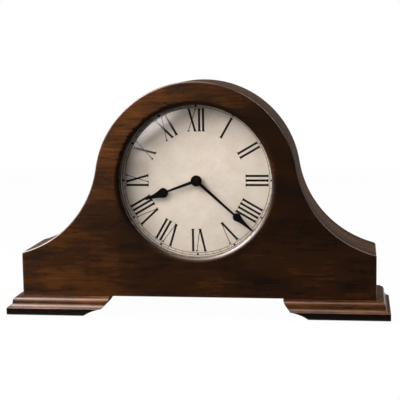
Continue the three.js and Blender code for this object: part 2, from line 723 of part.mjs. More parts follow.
// Hands: a hub, a tapering shaft, a round bulb and a long point with hollow flanks
function handShape(length, bulbFromTip, bulbWidth, holeRadius) {
  const bulbAt = length - bulbFromTip;
  const bulb = bulbWidth / 2;
  const hubAngle = Math.asin(HAND_SHAFT_WIDTH / 2 / HAND_HUB_RADIUS);
  const neckAngle = Math.asin(HAND_NECK_WIDTH / 2 / bulb);
  const flank = new THREE.Vector2(bulb * Math.cos(BULB_FLANK_ANGLE), bulb * Math.sin(BULB_FLANK_ANGLE));
  const hollow = new THREE.Vector2(BULB_HOLLOW.half, BULB_HOLLOW.along).multiplyScalar(bulb);
  const pointHalf = HAND_POINT_WIDTH * bulb;
  const shape = new THREE.Shape();
  shape.absarc(0, 0, HAND_HUB_RADIUS, Math.PI / 2 + hubAngle, 2.5 * Math.PI - hubAngle, false);
  shape.absarc(0, bulbAt, bulb, -Math.PI / 2 + neckAngle, BULB_FLANK_ANGLE, false);
  shape.quadraticCurveTo(hollow.x, bulbAt + hollow.y, pointHalf, length);
  shape.lineTo(-pointHalf, length);
  shape.quadraticCurveTo(-hollow.x, bulbAt + hollow.y, -flank.x, bulbAt + flank.y);
  shape.absarc(0, bulbAt, bulb, Math.PI - BULB_FLANK_ANGLE, 1.5 * Math.PI - neckAngle, false);
  circleHole(shape, centre, holeRadius);
  return shape;
}

function hand(shape, front, angle) {
  return plate(shape, front, HAND_THICKNESS, CURVE_STEPS).rotateY(angle);
}

const arborFront = minuteHandFront - CAP_HEIGHT / 2;
const hourHandShape = handShape(
  openingRadius - HOUR_TIP_TO_LIP,
  HOUR_BULB_FROM_TIP,
  HOUR_BULB_WIDTH,
  HOUR_PIPE_RADIUS + HAND_FIT,
);
const minuteHandShape = handShape(
  openingRadius - MINUTE_TIP_TO_LIP,
  MINUTE_BULB_FROM_TIP,
  MINUTE_BULB_WIDTH,
  ARBOR_RADIUS + HAND_FIT,
);

// The cap nut that holds the hands: a low dome with a blind hole from behind
function handCap() {
  const dome = Array.from({ length: CAP_STEPS + 1 }, (_, i) => {
    const turn = ((i / CAP_STEPS) * Math.PI) / 2;
    return [CAP_RADIUS * Math.sin(turn), minuteHandFront - CAP_HEIGHT * Math.cos(turn)];
  });
  const bottom = arborFront - END_SHAKE;
  const body = turned([...dome, [0, minuteHandFront]], SMALL_ROUND);
  return cut(body, bore(ARBOR_RADIUS + HAND_FIT, bottom, minuteHandFront + BEYOND));
}

addPiece(dialGroup, 'hour_hand', hand(hourHandShape, hourPipeFront, hourAngle), blackEnamel());
addPiece(dialGroup, 'minute_hand', hand(minuteHandShape, minuteHandFront, minuteAngle), blackEnamel());
addPiece(dialGroup, 'hand_cap_nut', handCap(), blackEnamel());

// Movement housing
function cavity(front, back, bottom, top) {
  return block(-halfCavity, halfCavity, front, back, bottom, top);
}

function trainSpace(front, back) {
  return cavity(front, back, trainFloor, cavityTop);
}

function batterySpace(front, back) {
  return cavity(front, back, cavityBottom, bayTop);
}

function housing(front, back) {
  const bottom = cavityBottom - SHELL_WALL;
  return block(-halfMovement, halfMovement, front, back, bottom, cavityTop + SHELL_WALL);
}

function frontShell() {
  const box = join(housing(shellFront, middleFront), rod(BUSHING_RADIUS, bushingFront, frontCavity));
  return cut(
    box,
    trainSpace(frontCavity, middleFront + BEYOND),
    batterySpace(frontCavity, middleFront + BEYOND),
    bore(HOUR_PIPE_RADIUS + RUNNING_CLEARANCE, bushingFront - BEYOND, frontCavity + BEYOND),
  );
}

function stemHole(front, back) {
  const hole = bore(KNOB_STEM_RADIUS + RUNNING_CLEARANCE, front, back, SMALL_ROUND);
  return hole.translate(settingAxis.x, 0, settingAxis.y);
}

function middlePlate() {
  const low = middleFront - BEYOND;
  const high = middleBack + BEYOND;
  return cut(
    housing(middleFront, middleBack),
    batterySpace(low, high),
    bore(ARBOR_RADIUS + RUNNING_CLEARANCE, low, high),
    stemHole(low, high),
  );
}

function rearShell() {
  return cut(
    housing(middleBack, shellBack),
    trainSpace(middleBack - BEYOND, rearCavity),
    batterySpace(middleBack - BEYOND, shellBack + BEYOND),
    stemHole(rearCavity - BEYOND, shellBack + BEYOND),
  );
}

function hexNut() {
  const lastCorner = (2 * Math.PI * (NUT_SIDES - 1)) / NUT_SIDES;
  const shape = new THREE.Shape(arc(centre, NUT_CORNER_RADIUS, 0, lastCorner, NUT_SIDES - 1));
  circleHole(shape, centre, dialHole);
  return plate(shape, nutFront, NUT_THICKNESS);
}

addPiece(dialGroup, 'movement_front_shell', frontShell(), blackPlastic());
addPiece(dialGroup, 'movement_middle_plate', middlePlate(), whitePlastic());
addPiece(dialGroup, 'movement_rear_shell', rearShell(), blackPlastic());
addPiece(
  dialGroup,
  'rubber_washer',
  ring(dialHole, RUBBER_WASHER_RADIUS, boardBack, shellFront, SMALL_ROUND),
  finish(0x222222, 0.9),
);
addPiece(
  dialGroup,
  'brass_washer',
  ring(dialHole, BRASS_WASHER_RADIUS, dialFace - BRASS_WASHER, dialFace, SMALL_ROUND),
  brass(),
);
addPiece(dialGroup, 'movement_hex_nut', hexNut(), brass());

// Gears: tapered teeth with working backlash, all wheels in mesh at rest
function gear(teeth, module, phase, front, thickness) {
  const pitchRadius = (module * teeth) / 2;
  const root = pitchRadius - DEDENDUM * module;
  const tip = pitchRadius + ADDENDUM * module;
  const pitch = (2 * Math.PI) / teeth;
  const points = [];
  for (let i = 0; i < teeth; i += 1) {
    const middle = phase + i * pitch;
    points.push(stepTo(centre, middle - ROOT_HALF_WIDTH * pitch, root));
    points.push(stepTo(centre, middle - TIP_HALF_WIDTH * pitch, tip));
    points.push(stepTo(centre, middle + TIP_HALF_WIDTH * pitch, tip));
    points.push(stepTo(centre, middle + ROOT_HALF_WIDTH * pitch, root));
  }
  return plate(new THREE.Shape(points), front, thickness);
}

// The phase that puts a gap of the second gear on a tooth of the first
function meshPhase(teeth, phase, otherTeeth, direction) {
  return direction + Math.PI - (teeth * (phase - direction) + Math.PI) / otherTeeth;
}

function onAxis(geometry, axis) {
  return geometry.translate(axis.x, 0, axis.y);
}

function pinionFront(wheelFront) {
  return wheelFront - (PINION_THICKNESS - WHEEL_THICKNESS) / 2;
}

const minuteWheelPhase = meshPhase(CANNON_TEETH, 0, MINUTE_WHEEL_TEETH, MINUTE_WHEEL_DIRECTION);
const settingPhase = meshPhase(MINUTE_WHEEL_TEETH, minuteWheelPhase, SETTING_TEETH, SETTING_DIRECTION);
const hourPhase = meshPhase(MINUTE_PINION_TEETH, 0, HOUR_WHEEL_TEETH, MINUTE_WHEEL_DIRECTION + Math.PI);
const thirdPinionPhase = meshPhase(DRIVE_WHEEL_TEETH, 0, THIRD_PINION_TEETH, THIRD_DIRECTION);
const fourthPinionPhase = meshPhase(THIRD_WHEEL_TEETH, 0, FOURTH_PINION_TEETH, THIRD_DIRECTION + Math.PI);
const idlerPinionPhase = meshPhase(FOURTH_WHEEL_TEETH, 0, IDLER_PINION_TEETH, IDLER_DIRECTION);
const rotorPhase = meshPhase(IDLER_WHEEL_TEETH, 0, ROTOR_TEETH, ROTOR_DIRECTION);

const arborBack = thirdFront - STATION_GAP;
const staffBack = rearCavity - END_SHAKE;
const rearStaffFront = middleBack + END_SHAKE;

function minuteArbor() {
  const cannon = gear(CANNON_TEETH, minuteModule, 0, pinionFront(minuteWheelFront), PINION_THICKNESS);
  return join(rod(ARBOR_RADIUS, arborFront, arborBack), cannon);
}

function hourWheel() {
  const pipe = rod(HOUR_PIPE_RADIUS, hourPipeFront, hourWheelFront + WHEEL_THICKNESS);
  const wheel = gear(HOUR_WHEEL_TEETH, hourModule, hourPhase, hourWheelFront, WHEEL_THICKNESS);
  const through = bore(ARBOR_RADIUS + RUNNING_CLEARANCE, hourPipeFront - BEYOND, minuteWheelFront);
  return cut(join(wheel, pipe), through);
}

function minuteWheel() {
  const staff = rod(STAFF_RADIUS, frontCavity + END_SHAKE, middleFront - END_SHAKE, TINY_ROUND);
  const wheel = gear(MINUTE_WHEEL_TEETH, minuteModule, minuteWheelPhase, minuteWheelFront, WHEEL_THICKNESS);
  const pinionLength = minuteWheelFront - hourWheelFront;
  const pinion = gear(MINUTE_PINION_TEETH, hourModule, 0, hourWheelFront, pinionLength + WHEEL_THICKNESS / 2);
  return onAxis(join(wheel, pinion, staff), minuteAxis);
}

function settingKnob() {
  const stem = rod(KNOB_STEM_RADIUS, minuteWheelFront, shellBack + KNOB_THICKNESS / 2);
  const pivot = rod(STAFF_RADIUS, frontCavity + END_SHAKE, middleFront, TINY_ROUND);
  const front = pinionFront(minuteWheelFront);
  const pinion = gear(SETTING_TEETH, minuteModule, settingPhase, front, PINION_THICKNESS);
  const points = [];
  for (let i = 0; i < KNOB_FLUTES; i += 1) {
    const turn = (2 * Math.PI) / KNOB_FLUTES;
    points.push(stepTo(centre, (i - KNOB_RIB_HALF) * turn, KNOB_RADIUS));
    points.push(stepTo(centre, (i + KNOB_RIB_HALF) * turn, KNOB_RADIUS));
    points.push(stepTo(centre, (i + 0.5) * turn, KNOB_RADIUS - KNOB_FLUTE_DEPTH));
  }
  const knob = plate(new THREE.Shape(points), shellBack + GLUE_LINE, KNOB_THICKNESS);
  return onAxis(join(knob, stem, pivot, pinion), settingAxis);
}

function driveWheel() {
  const wheel = gear(DRIVE_WHEEL_TEETH, driveModule, 0, driveFront, WHEEL_THICKNESS);
  return cut(wheel, bore(ARBOR_RADIUS + RUNNING_CLEARANCE, driveFront - BEYOND, driveFront + BEYOND));
}

// A wheel and its pinion on one staff
function compoundWheel(spec) {
  const staff = rod(STAFF_RADIUS, spec.staffFront, staffBack, TINY_ROUND);
  const wheel = gear(spec.teeth, spec.module, 0, spec.front, WHEEL_THICKNESS);
  const pinion = gear(
    spec.pinionTeeth,
    spec.pinionModule,
    spec.pinionPhase,
    pinionFront(spec.pinionStation),
    PINION_THICKNESS,
  );
  return onAxis(join(wheel, pinion, staff), spec.axis);
}

function rotor() {
  const staff = rod(STAFF_RADIUS, rearStaffFront, staffBack, TINY_ROUND);
  const pinion = gear(ROTOR_TEETH, ROTOR_MODULE, rotorPhase, pinionFront(idlerFront), PINION_THICKNESS);
  const magnet = rod(MAGNET_RADIUS, rotorFront, staffBack - END_SHAKE, SMALL_ROUND);
  return onAxis(join(magnet, pinion, staff), rotorAxis);
}

addPiece(dialGroup, 'minute_arbor', minuteArbor(), steel());
addPiece(dialGroup, 'hour_wheel', hourWheel(), whitePlastic());
addPiece(dialGroup, 'minute_wheel', minuteWheel(), whitePlastic());
addPiece(dialGroup, 'setting_knob', settingKnob(), whitePlastic());
addPiece(dialGroup, 'drive_wheel', driveWheel(), whitePlastic());
addPiece(
  dialGroup,
  'third_wheel',
  compoundWheel({
    axis: thirdAxis,
    staffFront: rearStaffFront,
    front: thirdFront,
    teeth: THIRD_WHEEL_TEETH,
    module: thirdModule,
    pinionTeeth: THIRD_PINION_TEETH,
    pinionModule: driveModule,
    pinionPhase: thirdPinionPhase,
    pinionStation: driveFront,
  }),
  whitePlastic(),
);
addPiece(
  dialGroup,
  'fourth_wheel',
  compoundWheel({
    axis: centre,
    staffFront: arborBack + END_SHAKE,
    front: fourthFront,
    teeth: FOURTH_WHEEL_TEETH,
    module: IDLER_MODULE,
    pinionTeeth: FOURTH_PINION_TEETH,
    pinionModule: thirdModule,
    pinionPhase: fourthPinionPhase,
    pinionStation: thirdFront,
  }),
  whitePlastic(),
);
addPiece(
  dialGroup,
  'idler_wheel',
  compoundWheel({
    axis: idlerAxis,
    staffFront: rearStaffFront,
    front: idlerFront,
    teeth: IDLER_WHEEL_TEETH,
    module: ROTOR_MODULE,
    pinionTeeth: IDLER_PINION_TEETH,
    pinionModule: IDLER_MODULE,
    pinionPhase: idlerPinionPhase,
    pinionStation: fourthFront,
  }),
  whitePlastic(),
);
addPiece(dialGroup, 'motor_rotor', rotor(), steel());

// Motor and electrics
const statorBack = rearCavity - GLUE_LINE;
const statorFront = statorBack - STATOR_THICKNESS;
const statorBottom = rotorAxis.y - STATOR_ARM;
const statorTop = coilHeight + COIL_CORE_WIDTH / 2;
const statorMiddle = rotorAxis.x;
const coilMiddle = rearCavity - GLUE_LINE - COIL_RADIUS;
const coreFront = coilMiddle - COIL_CORE_THICKNESS / 2;

function statorPlate() {
  const inner = statorHalfSpan - STATOR_LEG;
  const armTop = rotorAxis.y + STATOR_ARM;
  const shape = new THREE.Shape(
    [
      [-statorHalfSpan, statorBottom],
      [statorHalfSpan, statorBottom],
      [statorHalfSpan, statorTop],
      [inner, statorTop],
      [inner, armTop],
      [-inner, armTop],
      [-inner, statorTop],
      [-statorHalfSpan, statorTop],
    ].map(([x, z]) => new THREE.Vector2(statorMiddle + x, z)),
  );
  circleHole(shape, rotorAxis, MAGNET_RADIUS + STATOR_GAP);
  return plate(shape, statorFront, STATOR_THICKNESS);
}

// The coil's iron core: a bar whose two ends reach back to the legs of the stator
function coilCore() {
  const low = coilHeight - COIL_CORE_WIDTH / 2;
  const high = coilHeight + COIL_CORE_WIDTH / 2;
  const left = statorMiddle - statorHalfSpan;
  const right = statorMiddle + statorHalfSpan;
  const bar = block(left, right, coreFront, coreFront + COIL_CORE_THICKNESS, low, high);
  const leftFoot = block(left, left + STATOR_LEG, coreFront, statorFront, low, high);
  const rightFoot = block(right - STATOR_LEG, right, coreFront, statorFront, low, high);
  return join(bar, leftFoot, rightFoot);
}

function coilWinding() {
  const length = 2 * (statorHalfSpan - STATOR_LEG - GLUE_LINE);
  const spool = rod(COIL_RADIUS, -length / 2, length / 2, TINY_ROUND).rotateZ(Math.PI / 2);
  spool.translate(statorMiddle, coilMiddle, coilHeight);
  const reach = statorHalfSpan + BEYOND;
  const halfSlot = COIL_CORE_WIDTH / 2 + GLUE_LINE / 2;
  const slot = block(
    statorMiddle - reach,
    statorMiddle + reach,
    coreFront - GLUE_LINE / 2,
    coreFront + COIL_CORE_THICKNESS + GLUE_LINE / 2,
    coilHeight - halfSlot,
    coilHeight + halfSlot,
  );
  return cut(spool, slot);
}

const pcbLeft = -halfCavity + PCB_MARGIN;
const pcbBottom = trainFloor + GLUE_LINE;

function circuitBoard() {
  const front = statorBack - PCB_THICKNESS;
  return block(pcbLeft, pcbLeft + PCB_WIDTH, front, statorBack, pcbBottom, pcbBottom + PCB_HEIGHT);
}

function quartzCan() {
  const can = new THREE.CylinderGeometry(QUARTZ_RADIUS, QUARTZ_RADIUS, QUARTZ_LENGTH, TINY_ROUND);
  can.rotateX(Math.PI / 2);
  const depth = statorBack - PCB_THICKNESS - GLUE_LINE - QUARTZ_RADIUS;
  return can.translate(pcbLeft + PCB_WIDTH / 2, depth, pcbBottom + PCB_HEIGHT / 2);
}

const batteryY = frontCavity + BATTERY_CLEARANCE + BATTERY_RADIUS;
const batteryZ = cavityBottom + BATTERY_CLEARANCE + BATTERY_RADIUS;

function battery() {
  const half = BATTERY_LENGTH / 2;
  const cell = turned(
    [
      [0, -half],
      [BATTERY_RADIUS, -half],
      [BATTERY_RADIUS, half - BATTERY_NUB],
      [BATTERY_NUB_RADIUS, half - BATTERY_NUB],
      [BATTERY_NUB_RADIUS, half],
      [0, half],
    ],
    SMALL_ROUND,
  );
  return cell.rotateZ(-Math.PI / 2).translate(0, batteryY, batteryZ);
}

// A strip contact stands at each end of the cell, its spring tongue reaching in to the cell
function batteryContact(side) {
  const outer = halfCavity - GLUE_LINE / 2;
  const inner = outer - CONTACT_THICKNESS;
  const tongue = BATTERY_LENGTH / 2 + GLUE_LINE;
  const pad = (from, to, half) => {
    const [x0, x1] = side > 0 ? [from, to] : [-to, -from];
    return block(x0, x1, batteryY - half, batteryY + half, batteryZ - half, batteryZ + half);
  };
  return join(pad(inner, outer, CONTACT_WIDTH / 2), pad(tongue, outer, CONTACT_TONGUE / 2));
}

addPiece(dialGroup, 'stator_plate', statorPlate(), steel());
addPiece(dialGroup, 'coil_core', coilCore(), steel());
addPiece(dialGroup, 'coil_winding', coilWinding(), finish(0x9c5a2c, 0.4, 0.8));
addPiece(dialGroup, 'circuit_board', circuitBoard(), finish(0x1f4a33, 0.6));
addPiece(dialGroup, 'quartz_can', quartzCan(), steel());
addPiece(dialGroup, 'battery', battery(), finish(0x2d3136, 0.4, 0.6));
addPiece(dialGroup, 'battery_contact_positive', batteryContact(1), steel());
addPiece(dialGroup, 'battery_contact_negative', batteryContact(-1), steel());

// Access door on two butt hinges, with a pull and a magnetic catch
const doorLeft = -halfOpening + DOOR_GAP;
const doorRight = halfOpening - DOOR_GAP;
const doorBottom = doorOpeningBottom + DOOR_GAP;
const doorTop = doorOpeningTop - DOOR_GAP;
const catchInner = halfOpening - CATCH_OVERHANG;
const catchFace = backPanelFront - GLUE_LINE;

function accessDoor() {
  const board = block(doorLeft, doorRight, backPanelFront, CASE_DEPTH, doorBottom, doorTop);
  const half = STRIKE_SIZE / 2 + GLUE_LINE;
  const recess = block(
    catchInner - GLUE_LINE,
    doorRight + BEYOND,
    backPanelFront - BEYOND,
    backPanelFront + STRIKE_RECESS,
    doorMiddle - half,
    doorMiddle + half,
  );
  return cut(board, recess);
}

function strikePlate() {
  const back = backPanelFront + STRIKE_RECESS;
  const half = STRIKE_SIZE / 2;
  return block(catchInner, doorRight, back - STRIKE_THICKNESS, back, doorMiddle - half, doorMiddle + half);
}

function magnetCatch() {
  const overPanel = block(
    halfOpening,
    catchInner + CATCH_WIDTH,
    catchFace - CATCH_DEPTH,
    backPanelFront,
    doorMiddle - CATCH_HEIGHT / 2,
    doorMiddle + CATCH_HEIGHT / 2,
  );
  const overDoor = block(
    catchInner,
    halfOpening,
    catchFace - CATCH_DEPTH,
    catchFace,
    doorMiddle - CATCH_HEIGHT / 2,
    doorMiddle + CATCH_HEIGHT / 2,
  );
  return join(overPanel, overDoor);
}

function doorPull() {
  const seat = CASE_DEPTH;
  const end = seat + PULL_LENGTH;
  const pull = turned(
    [
      [0, seat],
      [PULL_FOOT_RADIUS, seat],
      [PULL_FOOT_RADIUS, seat + PULL_FOOT],
      [PULL_NECK_RADIUS, seat + 2 * PULL_FOOT],
      [PULL_NECK_RADIUS, end - PULL_KNOB],
      [PULL_RADIUS, end - PULL_KNOB + PULL_BEVEL],
      [PULL_RADIUS, end - PULL_BEVEL],
      [PULL_RADIUS - PULL_BEVEL, end],
      [0, end],
    ],
    SMALL_ROUND,
  );
  return pull.translate(doorRight - PULL_FROM_EDGE, 0, doorMiddle);
}

// One leaf of a hinge: a plate and the knuckles that it carries, bored for the pin
function hingeLeaf(side, knuckles) {
  const knuckle = HINGE_HEIGHT / 3;
  const near = HINGE_BARREL_RADIUS + 2 * HINGE_CLEARANCE;
  const bottom = -HINGE_HEIGHT / 2;
  const leafFront = -HINGE_BARREL_RADIUS - HINGE_CLEARANCE;
  const strip = (from, to, z0, z1) => {
    const [x0, x1] = side > 0 ? [from, to] : [-to, -from];
    return block(x0, x1, leafFront, leafFront + HINGE_LEAF, z0, z1);
  };
  const pieces = [strip(near, HINGE_LEAF_WIDTH, bottom, -bottom)];
  for (const place of knuckles) {
    const z0 = bottom + place * knuckle + HINGE_CLEARANCE / 2;
    const z1 = z0 + knuckle - HINGE_CLEARANCE;
    const barrel = new THREE.CylinderGeometry(HINGE_BARREL_RADIUS, HINGE_BARREL_RADIUS, z1 - z0, SMALL_ROUND);
    barrel.rotateX(Math.PI / 2).translate(0, 0, (z0 + z1) / 2);
    pieces.push(barrel, strip(0, near + HINGE_LEAF, z0, z1));
  }
  const pinBore = bore(HINGE_PIN_RADIUS + PIN_CLEARANCE, -HINGE_HEIGHT, HINGE_HEIGHT);
  return cut(join(...pieces), pinBore.rotateX(Math.PI / 2));
}

function hingePin() {
  const pin = new THREE.CylinderGeometry(HINGE_PIN_RADIUS, HINGE_PIN_RADIUS, HINGE_HEIGHT, SMALL_ROUND);
  return pin.rotateX(Math.PI / 2);
}

addPiece(clock, 'access_door', accessDoor(), lacqueredWood());
addPiece(clock, 'strike_plate', strikePlate(), steel());
addPiece(clock, 'magnet_catch', magnetCatch(), blackPlastic());
addPiece(clock, 'door_pull', doorPull(), brass());
const hingeHeights = [
  ['lower', doorBottom + HINGE_FROM_EDGE + HINGE_HEIGHT / 2],
  ['upper', doorTop - HINGE_FROM_EDGE - HINGE_HEIGHT / 2],
];
for (const [place, height] of hingeHeights) {
  const hinge = new THREE.Group();
  hinge.position.set(hingeX, hingeY, height);
  clock.add(hinge);
  addPiece(hinge, `${place}_hinge_case_leaf`, hingeLeaf(-1, [0, 2]), brass());
  addPiece(hinge, `${place}_hinge_door_leaf`, hingeLeaf(1, [1]), brass());
  addPiece(hinge, `${place}_hinge_pin`, hingePin(), brass());
}

export default clock;
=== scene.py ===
"""Looks of a dark wooden tambour mantel clock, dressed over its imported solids."""

import json
import logging
import math
from dataclasses import dataclass
from enum import Enum
from typing import Sequence

import bpy
from mathutils import Matrix, Quaternion, Vector

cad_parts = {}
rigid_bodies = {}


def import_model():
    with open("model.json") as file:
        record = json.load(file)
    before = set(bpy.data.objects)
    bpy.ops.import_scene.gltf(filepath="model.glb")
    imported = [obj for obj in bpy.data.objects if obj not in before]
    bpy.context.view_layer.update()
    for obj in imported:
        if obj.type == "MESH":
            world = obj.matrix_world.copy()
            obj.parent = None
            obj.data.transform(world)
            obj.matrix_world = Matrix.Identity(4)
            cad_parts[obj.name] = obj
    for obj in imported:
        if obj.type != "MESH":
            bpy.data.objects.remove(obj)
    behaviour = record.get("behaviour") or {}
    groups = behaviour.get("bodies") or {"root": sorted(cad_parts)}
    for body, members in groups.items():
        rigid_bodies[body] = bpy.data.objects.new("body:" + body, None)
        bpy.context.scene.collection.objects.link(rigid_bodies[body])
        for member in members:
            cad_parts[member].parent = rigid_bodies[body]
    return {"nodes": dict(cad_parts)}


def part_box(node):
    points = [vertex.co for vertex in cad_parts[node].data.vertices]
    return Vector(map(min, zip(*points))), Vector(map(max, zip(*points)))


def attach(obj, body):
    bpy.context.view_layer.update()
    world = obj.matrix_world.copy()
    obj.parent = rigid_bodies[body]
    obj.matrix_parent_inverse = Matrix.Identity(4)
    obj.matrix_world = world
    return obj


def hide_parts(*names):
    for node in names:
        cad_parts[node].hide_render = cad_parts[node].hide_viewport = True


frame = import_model()

Piece = bpy.types.Object
Material = bpy.types.Material
Socket = bpy.types.NodeSocket
Tree = bpy.types.NodeTree
Flat = tuple[float, float]
Triple = tuple[float, float, float]
Value = Socket | float | Sequence[float]
Palette = dict[str, Material]

LOG = logging.getLogger("tambour_clock")
MM = 0.001
TAU = 2 * math.pi
MERGE_DISTANCE = 2e-6
RIM_REACH = 0.1
FLAT_ANGLE = 1.0
BEYOND = 5.0
SLOT_REACH = 2.0
WHITE = (1.0, 1.0, 1.0, 1.0)
DEPTH_AXIS = Vector((0, 1, 0))
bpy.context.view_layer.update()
PANEL_LOW, PANEL_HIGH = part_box("front_panel")
DIAL_LOW, DIAL_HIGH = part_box("dial")
CASE_CORNER = Vector((0.0, PANEL_LOW.y, PANEL_LOW.z))
DIAL_MIDDLE = Vector((0.0, PANEL_LOW.y, (DIAL_LOW.z + DIAL_HIGH.z) / 2))
FRONT_THICKNESS = (PANEL_HIGH.y - PANEL_LOW.y) / MM


def at_case(across: float, depth: float, up: float) -> Vector:
    """Give the place so many millimetres right of, behind and above the case's lower front middle."""
    return CASE_CORNER + MM * Vector((across, depth, up))


def at_dial(across: float, depth: float, up: float) -> Vector:
    """Give the place so many millimetres right of, behind and above the dial's middle on the case front."""
    return DIAL_MIDDLE + MM * Vector((across, depth, up))


def inward(depth: float) -> Vector:
    """Give a step of so many millimetres towards the back."""
    return MM * depth * DEPTH_AXIS


def rectangle(middle: Vector, half_width: float, half_height: float) -> list[Vector]:
    """List the corners of an upright rectangle about a middle, from its halves in millimetres."""
    signs = ((-1, -1), (1, -1), (1, 1), (-1, 1))
    return [middle + MM * Vector((x * half_width, 0, z * half_height)) for x, z in signs]


def arc_points(middle: Flat, radius: float, start: float, end: float, steps: int) -> list[Flat]:
    """List points along an arc from a start to an end angle in radians, in equal steps."""
    angles = [start + (end - start) * step / steps for step in range(steps + 1)]
    return [(middle[0] + radius * math.cos(a), middle[1] + radius * math.sin(a)) for a in angles]


def bend_points(ends: Sequence[Flat], steps: int) -> list[Flat]:
    """List points along a Bezier curve of any degree, without its first point.

    Args:
        ends: Start, handles and end of the curve.
        steps: Number of chords.

    Returns:
        The points after the start, up to the end.
    """
    found = []
    for step in range(1, steps + 1):
        share = step / steps
        row = list(ends)
        while len(row) > 1:
            pairs = zip(row, row[1:])
            row = [(a[0] + (b[0] - a[0]) * share, a[1] + (b[1] - a[1]) * share) for a, b in pairs]
        found.append(row[0])
    return found


def bearing(azimuth: float, elevation: float) -> Vector:
    """Give the direction at an azimuth round from the front and an elevation, both in degrees."""
    turn, lift = math.radians(azimuth), math.radians(elevation)
    return Vector((math.sin(turn) * math.cos(lift), -math.cos(turn) * math.cos(lift), math.sin(lift)))


def aim(piece: Piece, away: Vector, roll: float) -> None:
    """Turn a camera or lamp that stands away from its target towards it, with a roll in degrees."""
    look = (-away).to_track_quat("-Z", "Y")
    piece.rotation_euler = (look @ Quaternion((0, 0, 1), math.radians(roll))).to_euler()


def only(piece: Piece) -> None:
    """Select one piece and nothing else, and make it the active one.

    Args:
        piece: The piece.
    """
    if bpy.context.object and bpy.context.object.mode != "OBJECT":
        bpy.ops.object.mode_set(mode="OBJECT")
    bpy.ops.object.select_all(action="DESELECT")
    piece.select_set(True)
    bpy.context.view_layer.objects.active = piece


def open_mesh(piece: Piece) -> None:
    """Enter edit mode on one piece with its whole mesh selected.

    Args:
        piece: The piece.
    """
    only(piece)
    bpy.ops.object.mode_set(mode="EDIT")
    bpy.ops.mesh.select_all(action="SELECT")


def close_mesh() -> None:
    """Go back to object mode."""
    bpy.ops.object.mode_set(mode="OBJECT")


def settle(piece: Piece) -> None:
    """Merge doubled points of a piece and turn its faces outwards.

    Args:
        piece: The piece.
    """
    open_mesh(piece)
    bpy.ops.mesh.remove_doubles(threshold=MERGE_DISTANCE)
    bpy.ops.mesh.normals_make_consistent(inside=False)
    close_mesh()


def named(piece: Piece, name: str) -> Piece:
    """Name a piece and its mesh, and give the piece."""
    piece.name = piece.data.name = name
    return piece


def draw(name: str, points: Sequence[Vector], closed: bool) -> Piece:
    """Draw an outline by extruding one point along it.

    Args:
        name: Name of the new piece.
        points: Corners of the outline in order.
        closed: Whether to join the ends and fill the outline with a face.

    Returns:
        The drawn piece.
    """
    bpy.ops.object.select_all(action="DESELECT")
    bpy.ops.mesh.primitive_plane_add(size=MM)
    piece = named(bpy.context.object, name)
    open_mesh(piece)
    bpy.ops.mesh.merge(type="CENTER")
    bpy.ops.transform.translate(value=points[0])
    for before, after in zip(points, points[1:]):
        bpy.ops.mesh.extrude_vertices_move(TRANSFORM_OT_translate={"value": after - before})
    if closed:
        bpy.ops.mesh.select_all(action="SELECT")
        bpy.ops.mesh.edge_face_add()
    close_mesh()
    return piece


def slab(name: str, points: Sequence[Vector], thickness: Vector) -> Piece:
    """Draw a closed outline and extrude it into a solid.

    Args:
        name: Name of the new piece.
        points: Corners of the outline in order.
        thickness: The step from the outline to the far face.

    Returns:
        The solid piece.
    """
    piece = draw(name, points, closed=True)
    open_mesh(piece)
    bpy.ops.mesh.extrude_region_move(TRANSFORM_OT_translate={"value": thickness})
    close_mesh()
    settle(piece)
    return piece


def turned(name: str, profile: Sequence[Vector], middle: Vector, axis: Vector, steps: int) -> Piece:
    """Spin a drawn profile into a turned solid.

    Args:
        name: Name of the new piece.
        profile: Points of the profile in order, both ends on the axis or at the same place.
        middle: A point on the axis.
        axis: Direction of the axis.
        steps: Number of faces round the piece.

    Returns:
        The turned piece.
    """
    piece = draw(name, profile, closed=False)
    open_mesh(piece)
    bpy.ops.mesh.spin(steps=steps, angle=TAU, center=middle, axis=axis)
    close_mesh()
    settle(piece)
    return piece


def turned_on_dial(name: str, profile: Sequence[Flat], steps: int) -> Piece:
    """Spin a profile of radii and depths in millimetres round the dial's axis."""
    points = [at_dial(radius, depth, 0.0) for radius, depth in profile]
    return turned(name, points, DIAL_MIDDLE, DEPTH_AXIS, steps)


def apply(piece: Piece, modifier: bpy.types.Modifier) -> None:
    """Apply one modifier of a piece."""
    only(piece)
    bpy.ops.object.modifier_apply(modifier=modifier.name)


def remove(piece: Piece) -> None:
    """Delete a piece that served as a tool."""
    only(piece)
    bpy.ops.object.delete()


def cut(piece: Piece, tool: Piece) -> None:
    """Cut a tool's shape out of a piece, delete the tool and settle the piece.

    Args:
        piece: The piece.
        tool: The solid to take away.
    """
    modifier = piece.modifiers.new("cut", "BOOLEAN")
    modifier.operation = "DIFFERENCE"
    modifier.solver = "EXACT"
    modifier.object = tool
    apply(piece, modifier)
    remove(tool)
    settle(piece)


def cut_slot(screw: Piece, bottom: Vector, half_length: float, width: float) -> None:
    """Cut a slot across a screw's head, from its bottom out to the back, with sizes in millimetres."""
    cut(screw, slab("slot_tool", rectangle(bottom, half_length, width / 2), inward(SLOT_REACH)))


def shade(piece: Piece, angle: float = 35.0) -> None:
    """Shade a piece smooth between faces that meet at less than an angle in degrees.

    Args:
        piece: The piece.
        angle: The angle.
    """
    only(piece)
    bpy.ops.object.shade_smooth_by_angle(angle=math.radians(angle))
    modifier = piece.modifiers.new("even", "WEIGHTED_NORMAL")
    modifier.keep_sharp = True
    apply(piece, modifier)


